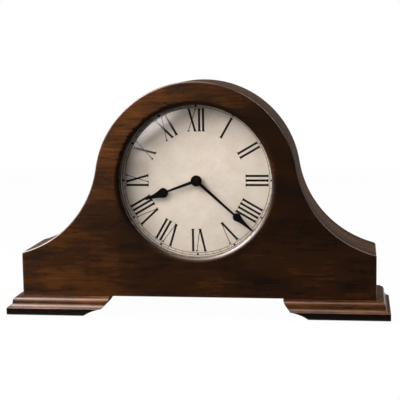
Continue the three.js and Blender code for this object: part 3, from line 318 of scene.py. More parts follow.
def ease(piece: Piece, width: float, steps: int = 2, angle: float = 40.0) -> None:
    """Round the sharp edges of a piece and shade it.

    Args:
        piece: The piece.
        width: Width of the rounding in millimetres.
        steps: Faces across the rounding.
        angle: Edges sharper than this many degrees are rounded.
    """
    modifier = piece.modifiers.new("ease", "BEVEL")
    modifier.width = width * MM
    modifier.segments = steps
    modifier.limit_method = "ANGLE"
    modifier.angle_limit = math.radians(angle)
    apply(piece, modifier)
    shade(piece)


def bevel_rim(piece: Piece, depth: float, width: float, steps: int) -> None:
    """Round the edges of a piece that lie at one depth behind the front face.

    Args:
        piece: The piece.
        depth: The depth in millimetres.
        width: Width of the rounding in millimetres.
        steps: Faces across the rounding.
    """
    plane = at_case(0.0, depth, 0.0).y
    open_mesh(piece)
    bpy.ops.mesh.select_mode(type="EDGE")
    bpy.ops.mesh.select_all(action="DESELECT")
    close_mesh()
    for edge in piece.data.edges:
        ends = [piece.data.vertices[index].co.y for index in edge.vertices]
        edge.select = all(abs(end - plane) < RIM_REACH * MM for end in ends)
    bpy.ops.object.mode_set(mode="EDIT")
    bpy.ops.mesh.bevel(offset=width * MM, segments=steps, affect="EDGES")
    bpy.ops.mesh.select_mode(type="VERT")
    close_mesh()


def turn_piece(piece: Piece, angle: float) -> None:
    """Turn the mesh of a piece clockwise about the dial's axis, seen from the front.

    Args:
        piece: The piece.
        angle: The turn in radians.
    """
    only(piece)
    spin = Matrix.Rotation(angle, 4, "Y")
    piece.matrix_world = Matrix.Translation(DIAL_MIDDLE) @ spin @ Matrix.Translation(-DIAL_MIDDLE)
    bpy.context.view_layer.update()
    bpy.ops.object.transform_apply(location=True, rotation=True, scale=True)


def move_piece(piece: Piece, step: Vector) -> None:
    """Move the mesh of a piece by a step.

    Args:
        piece: The piece.
        step: The step in metres.
    """
    open_mesh(piece)
    bpy.ops.transform.translate(value=step)
    close_mesh()


def copied(piece: Piece, name: str) -> Piece:
    """Copy a piece with a mesh of its own.

    Args:
        piece: The piece to copy.
        name: Name of the copy.

    Returns:
        The copy.
    """
    only(piece)
    bpy.ops.object.duplicate()
    return named(bpy.context.object, name)


def joined(name: str, pieces: Sequence[Piece]) -> Piece:
    """Join pieces into one.

    Args:
        name: Name of the joined piece.
        pieces: The pieces, of which the first takes in the rest.

    Returns:
        The joined piece.
    """
    only(pieces[0])
    for piece in pieces[1:]:
        piece.select_set(True)
    bpy.ops.object.join()
    return named(pieces[0], name)


def fine_copy(node: str) -> Piece:
    """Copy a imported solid, merge its loose triangles and join its flat faces.

    Args:
        node: Name of the solid.

    Returns:
        The copy, free of its body.
    """
    copy = copied(frame["nodes"][node], f"{node}_fine")
    bpy.ops.object.parent_clear(type="CLEAR_KEEP_TRANSFORM")
    for key in [key for key in copy.keys() if key.startswith("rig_")]:
        del copy[key]
    open_mesh(copy)
    bpy.ops.mesh.remove_doubles(threshold=MERGE_DISTANCE)
    bpy.ops.mesh.dissolve_limited(angle_limit=math.radians(FLAT_ANGLE))
    close_mesh()
    return copy


def mount(piece: Piece, finish: Material, body: str, slot: str, *nodes: str) -> None:
    """Dress a finished piece and let it ride on its body.

    Args:
        piece: The piece.
        finish: Its material.
        body: The body that carries it.
        slot: The material slot of the record; not used.
        nodes: Solids that it stands for.
    """
    piece.data.materials.clear()
    piece.data.materials.append(finish)
    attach(piece, body)
    if nodes:
        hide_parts(*nodes)
    LOG.info("piece %s on %s, %d faces", piece.name, body, len(piece.data.polygons))


def mount_eased(node: str, finish: Material, body: str, slot: str, width: float, steps: int = 2) -> None:
    """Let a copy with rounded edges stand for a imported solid.

    Args:
        node: Name of the solid.
        finish: Material of the copy.
        body: The body that carries it.
        slot: The material slot of the record.
        width: Width of the rounding in millimetres.
        steps: Faces across the rounding.
    """
    piece = fine_copy(node)
    ease(piece, width, steps)
    mount(piece, finish, body, slot, node)


def dress(finish: Material, *nodes: str) -> None:
    """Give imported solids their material.

    Args:
        finish: The material.
        nodes: Names of the solids.
    """
    for node in nodes:
        solid = frame["nodes"][node]
        if not solid.data.materials:
            solid.data.materials.append(finish)
        solid.material_slots[0].material = finish
        LOG.info("solid %s in %s", node, finish.name)


def rgba(colour: Triple) -> tuple[float, float, float, float]:
    """Give an opaque colour its fourth number."""
    return (*colour, 1.0)


class Desk:
    """Adds nodes to one node tree and wires them."""

    def __init__(self, tree: Tree) -> None:
        """Keep the tree to work on."""
        self.tree = tree

    def feed(self, socket: Socket, value: Value) -> None:
        """Wire a socket to another, or set its plain value.

        Args:
            socket: The input socket.
            value: The other socket, or the value.
        """
        if isinstance(value, Socket):
            self.tree.links.new(value, socket)
        else:
            socket.default_value = value

    def node(self, kind: str, inputs: dict[str | int, Value], **settings: str | Tree) -> bpy.types.Node:
        """Add a node.

        Args:
            kind: Blender's name of the node.
            inputs: Values or wires for its inputs.
            settings: Its other settings.

        Returns:
            The node.
        """
        made = self.tree.nodes.new(kind)
        for key, value in settings.items():
            setattr(made, key, value)
        for key, value in inputs.items():
            self.feed(made.inputs[key], value)
        return made

    def math(self, operation: str, first: Value, second: Value = 0.0) -> Socket:
        """Add a sum of two values and give its result."""
        return self.node("ShaderNodeMath", {0: first, 1: second}, operation=operation).outputs[0]

    def apart(self, first: Value, second: Value) -> Socket:
        """Give the distance between two places."""
        inputs = {0: first, 1: second}
        return self.node("ShaderNodeVectorMath", inputs, operation="DISTANCE").outputs["Value"]

    def scaled(self, vector: Value, scale: Value) -> Socket:
        """Stretch a vector along its axes and give the result."""
        return self.node("ShaderNodeVectorMath", {0: vector, 1: scale}, operation="MULTIPLY").outputs[0]

    def noise(self, vector: Value, detail: float, rough: float) -> Socket:
        """Add a soft noise of unit scale and give its value."""
        inputs = {"Vector": vector, "Scale": 1.0, "Detail": detail, "Roughness": rough}
        return self.node("ShaderNodeTexNoise", inputs).outputs[0]

    def ranged(self, value: Value, low: Value, high: Value, bottom: float, top: float) -> Socket:
        """Carry a value from one range to another, held at both ends, and give it."""
        inputs = {0: value, 1: low, 2: high, 3: bottom, 4: top}
        return self.node("ShaderNodeMapRange", inputs).outputs[0]

    def blend(self, share: Value, first: Value, second: Value, how: str = "MIX") -> Socket:
        """Blend two colours and give the result."""
        inputs = {0: share, 6: first, 7: second}
        return self.node("ShaderNodeMix", inputs, data_type="RGBA", blend_type=how).outputs[2]

    def by_ray(self, kind: str, share: float, first: Socket, second: Socket) -> Socket:
        """Mix two shaders, with a share of the second for one kind of ray, and give the result."""
        ray = self.math("MULTIPLY", self.node("ShaderNodeLightPath", {}).outputs[kind], share)
        return self.node("ShaderNodeMixShader", {0: ray, 1: first, 2: second}).outputs[0]


class Effect(Desk):
    """A shader node group that more than one finish uses."""

    VECTOR: str = "NodeSocketVector"
    COLOUR: str = "NodeSocketColor"
    NUMBER: str = "NodeSocketFloat"

    def __init__(self, name: str, inputs: dict[str, str], outputs: dict[str, str]) -> None:
        """Start the group.

        Args:
            name: Name of the group.
            inputs: Socket kinds by input name.
            outputs: Socket kinds by output name.
        """
        super().__init__(bpy.data.node_groups.new(name, "ShaderNodeTree"))
        for way, sockets in (("INPUT", inputs), ("OUTPUT", outputs)):
            for label, kind in sockets.items():
                self.tree.interface.new_socket(label, in_out=way, socket_type=kind)
        self.source = self.tree.nodes.new("NodeGroupInput").outputs
        self.target = self.tree.nodes.new("NodeGroupOutput").inputs


class WoodFigure(Effect):
    """Blotches, streaks, fibres, ripple and pores that run along X."""

    layers: tuple[tuple[Triple, float, float], ...] = (
        ((14.0, 44.0, 44.0), 3.0, 0.55),
        ((18.0, 150.0, 150.0), 5.0, 0.62),
        ((40.0, 430.0, 430.0), 3.0, 0.6),
        ((120.0, 16.0, 16.0), 2.0, 0.5),
        ((130.0, 2600.0, 2600.0), 1.0, 0.5),
    )
    shares: tuple[float, ...] = (0.36, 0.26, 0.3, 0.08)
    contrast: Flat = (0.39, 0.61)
    pore_edge: Flat = (0.62, 0.72)
    pore_depth: float = 0.5
    fibre_height: float = 0.4

    def __init__(self) -> None:
        """Build the group."""
        colours = {name: self.COLOUR for name in ("Dark", "Middle", "Light")}
        outputs = {"Color": self.COLOUR, "Tone": self.NUMBER, "Height": self.NUMBER}
        super().__init__("wood_figure", {"Vector": self.VECTOR, **colours}, outputs)
        source = self.source
        parts = []
        for scale, detail, rough in self.layers:
            parts.append(self.noise(self.scaled(source["Vector"], scale), detail, rough))
        fibre, pores = parts[2], parts[4]
        total: Value = 0.0
        for part, share in zip(parts, self.shares):
            total = self.math("ADD", total, self.math("MULTIPLY", part, share))
        tone = self.ranged(total, *self.contrast, 0.0, 1.0)
        lower = self.blend(self.ranged(tone, 0.0, 0.5, 0.0, 1.0), source["Dark"], source["Middle"])
        figure = self.blend(self.ranged(tone, 0.5, 1.0, 0.0, 1.0), lower, source["Light"])
        pore = self.ranged(pores, *self.pore_edge, 0.0, self.pore_depth)
        self.feed(self.target["Color"], self.blend(pore, figure, source["Dark"]))
        self.feed(self.target["Tone"], tone)
        raised = self.math("MULTIPLY", fibre, self.fibre_height)
        self.feed(self.target["Height"], self.math("SUBTRACT", raised, pore))


class FineTexture(Effect):
    """An even small texture with a slow drift under it."""

    layers: dict[str, Triple] = {"Grain": (3.0, 0.6, 0.45), "Drift": (3.0, 0.55, 0.55)}
    contrast: Flat = (0.32, 0.68)

    def __init__(self) -> None:
        """Build the group."""
        inputs = {name: self.VECTOR for name in ("Vector", *self.layers)}
        super().__init__("fine_texture", inputs, {"Value": self.NUMBER, "Height": self.NUMBER})
        total: Value = 0.0
        for label, (detail, rough, share) in self.layers.items():
            part = self.noise(self.scaled(self.source["Vector"], self.source[label]), detail, rough)
            total = self.math("ADD", total, self.math("MULTIPLY", part, share))
            if label == "Grain":
                self.feed(self.target["Height"], part)
        self.feed(self.target["Value"], self.ranged(total, *self.contrast, 0.0, 1.0))


class Specks(Effect):
    """A mask of sparse small round marks."""

    def __init__(self) -> None:
        """Build the group."""
        numbers = {name: self.NUMBER for name in ("Spread", "Size", "Share")}
        super().__init__("specks", {"Vector": self.VECTOR, **numbers}, {"Mask": self.NUMBER})
        source = self.source
        inputs = {"Vector": source["Vector"], "Scale": source["Spread"]}
        cells = self.node("ShaderNodeTexVoronoi", inputs).outputs
        near = self.ranged(cells["Distance"], source["Size"], 0.0, 0.0, 1.0)
        pick = self.node("ShaderNodeSeparateColor", {0: cells["Color"]}).outputs[0]
        chosen = self.math("LESS_THAN", pick, source["Share"])
        self.feed(self.target["Mask"], self.math("MULTIPLY", near, chosen))


class Effects:
    """Every shared shader node group, built once."""

    def __init__(self) -> None:
        """Build the groups."""
        self.wood_figure = WoodFigure().tree
        self.fine_texture = FineTexture().tree
        self.specks = Specks().tree


class Bench(Desk):
    """A desk on a new material, with its shader and the shared groups at hand."""

    def __init__(self, name: str, effects: Effects) -> None:
        """Start the material.

        Args:
            name: Name of the material.
            effects: The shared groups.
        """
        self.material = bpy.data.materials.new(name)
        self.material.use_nodes = True
        super().__init__(self.material.node_tree)
        self.effects = effects
        self.shader = self.tree.nodes["Principled BSDF"]
        self.place = self.node("ShaderNodeTexCoord", {}).outputs["Object"]

    def side(self, axis: str) -> Socket:
        """Give one side of the place on the clock."""
        return self.node("ShaderNodeSeparateXYZ", {0: self.place}).outputs[axis]

    def texture(self, grain: Triple, drift: Triple) -> bpy.types.Node:
        """Place the fine texture."""
        inputs = {"Vector": self.place, "Grain": grain, "Drift": drift}
        return self.node("ShaderNodeGroup", inputs, node_tree=self.effects.fine_texture)

    def specks(self, place: Socket, spread: float, size: float, share: float) -> Socket:
        """Place the specks and give their mask."""
        inputs = {"Vector": place, "Spread": spread, "Size": size, "Share": share}
        return self.node("ShaderNodeGroup", inputs, node_tree=self.effects.specks).outputs["Mask"]

    def bump(self, height: Value, depth: float) -> Socket:
        """Turn a height, with its full step in millimetres, into a normal."""
        inputs = {"Height": height, "Distance": depth * MM, "Strength": 1.0}
        return self.node("ShaderNodeBump", inputs).outputs[0]

    def finish(self, values: dict[str, Value]) -> None:
        """Wire or set inputs of the shader."""
        for key, value in values.items():
            self.feed(self.shader.inputs[key], value)

    def surface(self, shader: Socket) -> None:
        """Let another shader be the surface."""
        self.feed(self.tree.nodes["Material Output"].inputs["Surface"], shader)


@dataclass(frozen=True)
class Finish:
    """The look of one material."""

    name: str

    def wire(self, bench: Bench) -> None:
        """Wire the nodes of the material."""
        raise NotImplementedError

    def make(self, effects: Effects) -> Material:
        """Build the material.

        Args:
            effects: The shared groups.

        Returns:
            The material.
        """
        bench = Bench(self.name, effects)
        self.wire(bench)
        return bench.material


class Grain(Enum):
    """The way the grain of a wooden piece runs, as a turn of the figure in degrees."""

    ALONG_WIDTH = (0.0, 0.0, 0.0)
    ALONG_DEPTH = (0.0, 0.0, 90.0)
    ROUND_THE_TOP = None


@dataclass(frozen=True)
class LacqueredWood(Finish):
    """Stained wood under satin lacquer, with painted light that makes it lighter toward the upper left and
    darker toward the lower right.
    """

    grain: Grain
    # Painted light: share of the full colour from the lower right to the upper left, across span.
    stain_and_painted_light: Flat = (0.42, 1.05)
    span: Flat = (0.1, 0.26)
    black_below: float = 0.0
    black_soft: float = 0.15
    lean: float = 0.9
    dark: Triple = (0.012, 0.0052, 0.0022)
    middle: Triple = (0.053, 0.0192, 0.0047)
    light: Triple = (0.122, 0.0448, 0.0106)
    black: Triple = (0.004, 0.003, 0.002)
    marks: Triple = (42.0, 0.07, 0.12)
    mark_depth: float = 0.85
    gloss: Flat = (0.2, 0.3)
    shine: float = 0.45
    coat: Flat = (0.5, 0.24)
    relief: float = 0.006

    def painted_light_share(self, bench: Bench) -> Socket:
        """Find the painted light at a place on the clock, as a share of the full colour, higher toward the
        upper left.
        """
        # Painted light: the colour is scaled up toward the upper left and down toward the lower right.
        slope = bench.math("SUBTRACT", bench.side("Z"), bench.math("MULTIPLY", bench.side("X"), self.lean))
        return bench.ranged(slope, *self.span, *self.stain_and_painted_light)

    def figure_place(self, bench: Bench) -> Socket:
        """Find the place in the wood's figure.

        Args:
            bench: Desk on the new material.

        Returns:
            The place, along the grain.
        """
        if self.grain is Grain.ROUND_THE_TOP:
            return bench.node("ShaderNodeAttribute", {}, attribute_name="grain").outputs["Vector"]
        turn = [math.radians(angle) for angle in self.grain.value]
        return bench.node("ShaderNodeMapping", {"Vector": bench.place, "Rotation": turn}).outputs[0]

    def wire(self, bench: Bench) -> None:
        """Wire the figure, the painted light, the dark marks and the lacquer.

        Args:
            bench: Desk on the new material.
        """
        place = self.figure_place(bench)
        black = rgba(self.black)
        colours = {"Dark": rgba(self.dark), "Middle": rgba(self.middle), "Light": rgba(self.light)}
        inputs = {"Vector": place, **colours}
        figure = bench.node("ShaderNodeGroup", inputs, node_tree=bench.effects.wood_figure).outputs
        # Painted light multiplied into the wood's colour.
        colour = bench.blend(1.0, figure["Color"], self.painted_light_share(bench), "MULTIPLY")
        marks = bench.math("MULTIPLY", bench.specks(place, *self.marks), self.mark_depth)
        colour = bench.blend(marks, colour, black)
        if self.black_below:
            edge, soft = self.black_below * MM, self.black_soft * MM
            below = bench.ranged(bench.side("Z"), edge - soft, edge + soft, 1.0, 0.0)
            colour = bench.blend(below, colour, black)
        bench.finish(
            {
                "Base Color": colour,
                "Roughness": bench.ranged(figure["Tone"], 0.0, 1.0, self.gloss[1], self.gloss[0]),
                "Normal": bench.bump(figure["Height"], self.relief),
                "Specular IOR Level": self.shine,
                "Coat Weight": self.coat[0],
                "Coat Roughness": self.coat[1],
            }
        )


@dataclass(frozen=True)
class FrontWood(LacqueredWood):
    """Wood of the front panel: painted light that differs over arch and base, and painted shade and light on
    the two sides of the lip.
    """

    arch_light: Flat = (0.24, 1.15)
    arch_span: Flat = (0.15, 0.27)
    base_light: Flat = (1.0, 0.43)
    base_span: Flat = (-0.18, -0.06)
    arch_from: Flat = (0.06, 0.11)
    # Painted shade and light in the dial's lip: darker in its upper left recess, lighter along its lower
    # right edge.
    lip_shade_within: float = 84.0
    lip_shade_soft: float = 1.5
    lip_light_span: Flat = (DIAL_MIDDLE.z - 0.06, DIAL_MIDDLE.z + 0.04)
    lip_light_and_shade: Flat = (-0.8, 0.6)

    def painted_light_share(self, bench: Bench) -> Socket:
        """Find the painted light and shade at a place on the front panel.

        Args:
            bench: Desk on the new material.

        Returns:
            The share of the full colour.
        """
        # Painted light over arch and base, lighter toward the upper left and the far left.
        slope = bench.math("SUBTRACT", bench.side("Z"), bench.side("X"))
        arch = bench.ranged(slope, *self.arch_span, *self.arch_light)
        base = bench.ranged(bench.side("X"), *self.base_span, *self.base_light)
        rise = bench.ranged(bench.side("Z"), *self.arch_from, 0.0, 1.0)
        share = bench.math("ADD", base, bench.math("MULTIPLY", rise, bench.math("SUBTRACT", arch, base)))
        # Painted shade and light in the lip, within the set radius of the dial's middle.
        flat = bench.scaled(bench.place, (1.0, 0.0, 1.0))
        away = bench.apart(flat, (DIAL_MIDDLE.x, 0.0, DIAL_MIDDLE.z))
        edge, soft = self.lip_shade_within * MM, self.lip_shade_soft * MM
        inside = bench.ranged(away, edge - soft, edge + soft, 1.0, 0.0)
        lip_light_and_shade = bench.math("MULTIPLY", inside, bench.ranged(slope, *self.lip_light_span, *self.lip_light_and_shade))
        return bench.math("MULTIPLY", share, bench.math("SUBTRACT", 1.0, lip_light_and_shade))


@dataclass(frozen=True)
class EvenFinish(Finish):
    """A plain finish with a small texture: plastic, paint, paper, card, felt or metal."""

    low: Triple
    high: Triple
    gloss: Flat
    metallic: float = 0.0
    grain: Triple = (900.0, 900.0, 900.0)
    drift: Triple = (60.0, 60.0, 60.0)
    depth: float = 0.02
    sheen: float = 0.0
    shine: float = 0.5

    def wire(self, bench: Bench) -> None:
        """Wire colour, roughness and relief to one small texture.

        Args:
            bench: Desk on the new material.
        """
        texture = bench.texture(self.grain, self.drift).outputs
        bench.finish(
            {
                "Base Color": bench.blend(texture["Value"], rgba(self.low), rgba(self.high)),
                "Roughness": bench.ranged(texture["Value"], 0.0, 1.0, *self.gloss),
                "Metallic": self.metallic,
                "Sheen Weight": self.sheen,
                "Specular IOR Level": self.shine,
                "Normal": bench.bump(texture["Height"], self.depth),
            }
        )


@dataclass(frozen=True)
class AgedPrint(Finish):
    """Cream dial paper with soft age marks."""

    pale: Triple = (0.745, 0.709, 0.621)
    aged: Triple = (0.62, 0.566, 0.466)
    stain_and_painted_light: Triple = (0.4, 0.3, 0.2)
    grain: Triple = (420.0, 420.0, 420.0)
    drift: Triple = (48.0, 48.0, 48.0)
    marks: Triple = (170.0, 0.16, 0.08)
    mark_depth: float = 0.3
    gloss: Flat = (0.62, 0.5)
    relief: float = 0.01

    def wire(self, bench: Bench) -> None:
        """Wire the paper and its marks.

        Args:
            bench: Desk on the new material.
        """
        texture = bench.texture(self.grain, self.drift).outputs
        paper = bench.blend(texture["Value"], rgba(self.aged), rgba(self.pale))
        foxed = bench.math("MULTIPLY", bench.specks(bench.place, *self.marks), self.mark_depth)
        bench.finish(
            {
                "Base Color": bench.blend(foxed, paper, rgba(self.stain_and_painted_light)),
                "Roughness": bench.ranged(texture["Value"], 0.0, 1.0, *self.gloss),
                "Normal": bench.bump(texture["Height"], self.relief),
            }
        )


@dataclass(frozen=True)
class ClearGlass(Finish):
    """Clear glass that lets light through to what lies behind it."""

    index: float = 1.5
    tint: Triple = (0.97, 0.98, 0.975)
    grain: Triple = (300.0, 300.0, 300.0)
    drift: Triple = (30.0, 30.0, 30.0)
    gloss: Flat = (0.0, 0.012)

    def wire(self, bench: Bench) -> None:
        """Wire the glass, and let shadow rays through.

        Args:
            bench: Desk on the new material.
        """
        value = bench.texture(self.grain, self.drift).outputs["Value"]
        bench.finish(
            {
                "Base Color": bench.blend(value, rgba(self.tint), WHITE),
                "Roughness": bench.ranged(value, 0.0, 1.0, *self.gloss),
                "Transmission Weight": 1.0,
                "IOR": self.index,
            }
        )
        clear = bench.node("ShaderNodeBsdfTransparent", {}).outputs[0]
        bench.surface(bench.by_ray("Is Shadow Ray", 1.0, bench.shader.outputs[0], clear))


@dataclass(frozen=True)
class BandedFinish(Finish):
    """A finish in bands along X, such as a wire winding or a two-tone jacket."""

    first: Triple
    second: Triple
    turns: float
    start: float
    gloss: Flat
    metallic: float
    grain: Triple = (700.0, 700.0, 700.0)
    drift: Triple = (90.0, 90.0, 90.0)
    edge: Flat = (0.45, 0.55)
    wear: float = 0.25
    relief: float = 0.03

    def wire(self, bench: Bench) -> None:
        """Wire the bands and their wear.

        Args:
            bench: Desk on the new material.
        """
        step = bench.math("MULTIPLY", bench.math("SUBTRACT", bench.side("X"), self.start), self.turns)
        band = bench.ranged(bench.math("PINGPONG", step, 1.0), *self.edge, 0.0, 1.0)
        value = bench.texture(self.grain, self.drift).outputs["Value"]
        worn = bench.blend(bench.math("MULTIPLY", value, self.wear), rgba(self.first), rgba(self.second))
        bench.finish(
            {
                "Base Color": bench.blend(band, worn, rgba(self.second)),
                "Roughness": bench.ranged(value, 0.0, 1.0, *self.gloss),
                "Metallic": self.metallic,
                "Normal": bench.bump(band, self.relief),
            }
        )


@dataclass(frozen=True)
class PaleFloor(Finish):
    """A pale floor, white to the camera with a trace of the clock's shadow."""

    colour: Triple = (0.25, 0.25, 0.25)
    rough: float = 0.9
    white: float = 0.98

    def wire(self, bench: Bench) -> None:
        """Wire the matt floor and its white.

        Args:
            bench: Desk on the new material.
        """
        bench.finish({"Base Color": rgba(self.colour), "Roughness": self.rough})
        white = bench.node("ShaderNodeEmission", {"Color": WHITE, "Strength": 1.0}).outputs[0]
        bench.surface(bench.by_ray("Is Camera Ray", self.white, bench.shader.outputs[0], white))


# Feet: painted light, lighter on the left foot than the right, and the plinth stained black below 7.9 mm.
FOOT_LIGHT_AND_PLINTH = ((0.9, 1.4), (-0.12, 0.12), 7.9)
BRASS_GRAIN = (2400.0, 2400.0, 160.0)
STEEL_GRAIN = (200.0, 2400.0, 2400.0)
FINISHES: dict[str, Finish] = {
    "wood_wide": LacqueredWood("lacquered_wood_wide", Grain.ALONG_WIDTH),
    "wood_deep": LacqueredWood("lacquered_wood_deep", Grain.ALONG_DEPTH),
    # The bent top carries painted light, from 0.4 of its colour at the lower right to 1.0 at the upper left.
    "wood_bent": LacqueredWood("lacquered_wood_bent", Grain.ROUND_THE_TOP, (1.0, 0.4)),
    "wood_front": FrontWood("lacquered_wood_front", Grain.ALONG_WIDTH),
    "foot_wide": LacqueredWood("foot_wood_wide", Grain.ALONG_WIDTH, *FOOT_LIGHT_AND_PLINTH),
    "foot_deep": LacqueredWood("foot_wood_deep", Grain.ALONG_DEPTH, *FOOT_LIGHT_AND_PLINTH),
    "board": EvenFinish("bare_hardboard", (0.2, 0.11, 0.05), (0.34, 0.21, 0.11), (0.7, 0.85)),
    "felt": EvenFinish(
        "brown_felt", (0.012, 0.008, 0.006), (0.04, 0.026, 0.02), (0.9, 1.0), depth=0.15, sheen=0.4
    ),
    "glass": ClearGlass("domed_clear_glass"),
    "card": EvenFinish("brown_card", (0.05, 0.03, 0.018), (0.11, 0.07, 0.042), (0.75, 0.9)),
    "dial": AgedPrint("aged_dial_paper"),
    "ink": EvenFinish("print_ink", (0.004, 0.004, 0.0035), (0.01, 0.009, 0.008), (0.6, 0.75), shine=0.1),
    "enamel": EvenFinish(
        "satin_black_enamel",
        (0.001, 0.001, 0.001),
        (0.003, 0.003, 0.003),
        (0.4, 0.5),
        depth=0.006,
        shine=0.04,
    ),
    "brass": EvenFinish(
        "satin_brass", (0.42, 0.28, 0.09), (0.6, 0.44, 0.18), (0.26, 0.4), 1.0, BRASS_GRAIN, depth=0.004
    ),
    "steel": EvenFinish(
        "plain_steel", (0.38, 0.38, 0.37), (0.55, 0.55, 0.54), (0.28, 0.42), 1.0, STEEL_GRAIN, depth=0.004
    ),
    "plastic": EvenFinish(
        "black_moulded_plastic", (0.008, 0.008, 0.009), (0.022, 0.022, 0.023), (0.42, 0.6), depth=0.03
    ),
    "gear": EvenFinish("pale_gear_plastic", (0.66, 0.64, 0.57), (0.8, 0.78, 0.71), (0.4, 0.55), depth=0.01),
    "rubber": EvenFinish("black_rubber", (0.01, 0.01, 0.01), (0.022, 0.022, 0.022), (0.75, 0.9)),
    "copper": BandedFinish(
        "copper_winding", (0.5, 0.19, 0.07), (0.24, 0.07, 0.025), 9000.0, 0.0, (0.28, 0.4), 1.0
    ),
    "laminate": EvenFinish(
        "green_laminate", (0.012, 0.08, 0.035), (0.03, 0.16, 0.07), (0.35, 0.5), depth=0.01
    ),
    "jacket": BandedFinish(
        "battery_jacket", (0.02, 0.021, 0.023), (0.5, 0.27, 0.12), 25.0, -0.006, (0.28, 0.4), 0.85
    ),
    "floor": PaleFloor("pale_floor"),
}


@dataclass(frozen=True)
class CaseOutline:
    """The hat-shaped outline of the case, in millimetres."""

    half_width: float = 186.0
    hat_radius: float = 105.4
    hat_height: float = 119.0
    shoulder_radius: float = 109.5
    shoulder_height: float = 46.2
    shoulder_rounding: float = 2.4
    hat_steps: int = 96
    shoulder_steps: int = 36
    rounding_steps: int = 5

    def shoulder_centre(self) -> Flat:
        """Find the centre of the right shoulder's curve.

        Returns:
            The centre, which lies outside the case.
        """
        reach = self.hat_radius + self.shoulder_radius
        across, fall = self.half_width, self.shoulder_height - self.hat_height
        apart = math.hypot(across, fall)
        along = (reach**2 - self.shoulder_radius**2 + apart**2) / (2 * apart)
        aside = math.sqrt(reach**2 - along**2)
        x = (along * across - aside * fall) / apart
        return x, self.hat_height + (along * fall + aside * across) / apart

    def lift(self) -> float:
        """Give the angle above level at which the hat's curve meets the shoulder's."""
        centre = self.shoulder_centre()
        return math.atan2(centre[1] - self.hat_height, centre[0])

    def top_line(self, depth: float) -> list[Flat]:
        """List the top line from the right end to the left.

        Args:
            depth: Distance inside the outer face.

        Returns:
            The points.
        """
        centre, lift = self.shoulder_centre(), self.lift()
        radius = self.shoulder_radius + depth
        end = -math.pi + math.acos((centre[0] - self.half_width) / radius)
        shoulder = arc_points(centre, radius, end, lift - math.pi, self.shoulder_steps)
        middle = (0.0, self.hat_height)
        hat = arc_points(middle, self.hat_radius - depth, lift, math.pi - lift, self.hat_steps)
        return shoulder + hat[1:-1] + [(-x, z) for x, z in reversed(shoulder)]

    def rounded_top_line(self) -> list[Flat]:
        """List the outer top line with its two corners rounded.

        Returns:
            The points from the right end to the left.
        """
        line = self.top_line(0.0)
        corner, inner = line[:2]
        below = (corner[0], corner[1] - self.shoulder_rounding)
        rounding = [below] + bend_points((below, corner, inner), self.rounding_steps)
        return rounding + line[2:-2] + [(-x, z) for x, z in reversed(rounding)]

    def panel(self) -> list[Flat]:
        """List the corners of a whole panel."""
        return [(-self.half_width, 0.0), (self.half_width, 0.0)] + self.rounded_top_line()

    def run(self, x: float, z: float) -> float:
        """Measure along the top line from its middle to the place of a point.

        Args:
            x: Distance of the point to the right of the middle.
            z: Its height.

        Returns:
            The length along the top line, negative on the left.
        """
        centre, lift = self.shoulder_centre(), self.lift()
        angle = math.atan2(z - self.hat_height, abs(x))
        length = self.hat_radius * (math.pi / 2 - angle)
        if angle < lift:
            past = lift - (math.atan2(z - centre[1], abs(x) - centre[0]) + math.pi)
            length = self.hat_radius * (math.pi / 2 - lift) + self.shoulder_radius * abs(past)
        return math.copysign(length, x)


@dataclass
class Assembly:
    """A group of pieces that are built and dressed together."""

    palette: Palette

    def build(self) -> None:
        """Build and dress every piece."""
        raise NotImplementedError


@dataclass
class CaseFront(Assembly):
    """The front panel with its arris and the rounded lip of the dial opening."""

    outline: CaseOutline = CaseOutline()
    thickness: float = FRONT_THICKNESS
    arris: float = 1.5
    arris_steps: int = 4
    opening_radius: float = 79.6
    lip_rounding: float = 6.5
    lip_sweep: float = 50.0
    lip_depth: float = 10.5
    rebate_radius: float = 86.2
    lip_steps: int = 8
    round_steps: int = 144

    def opening_tool(self) -> Piece:
        """Build the tool that cuts the opening, its lip and the rebate behind it.

        Returns:
            The tool.
        """
        sweep = math.radians(self.lip_sweep)
        wide = self.opening_radius + self.lip_rounding * math.sin(sweep)
        profile = [(0.0, -BEYOND), (wide, -BEYOND)]
        for step in range(self.lip_steps + 1):
            turn = step / self.lip_steps * sweep
            depth = self.lip_rounding * (1 - math.cos(turn))
            profile.append((wide - self.lip_rounding * math.sin(turn), depth))
        back = self.thickness + BEYOND
        profile += [(self.opening_radius, self.lip_depth), (self.rebate_radius, self.lip_depth)]
        profile += [(self.rebate_radius, back), (0.0, back)]
        return turned_on_dial("opening_tool", profile, self.round_steps)

    def build(self) -> None:
        """Build and dress the front panel."""
        points = [at_case(x, 0.0, z) for x, z in self.outline.panel()]
        panel = slab("front_panel_wood", points, inward(self.thickness))
        bevel_rim(panel, 0.0, self.arris, self.arris_steps)
        cut(panel, self.opening_tool())
        shade(panel)
        mount(panel, self.palette["wood_front"], "case", "lacquered_wood", "front_panel")


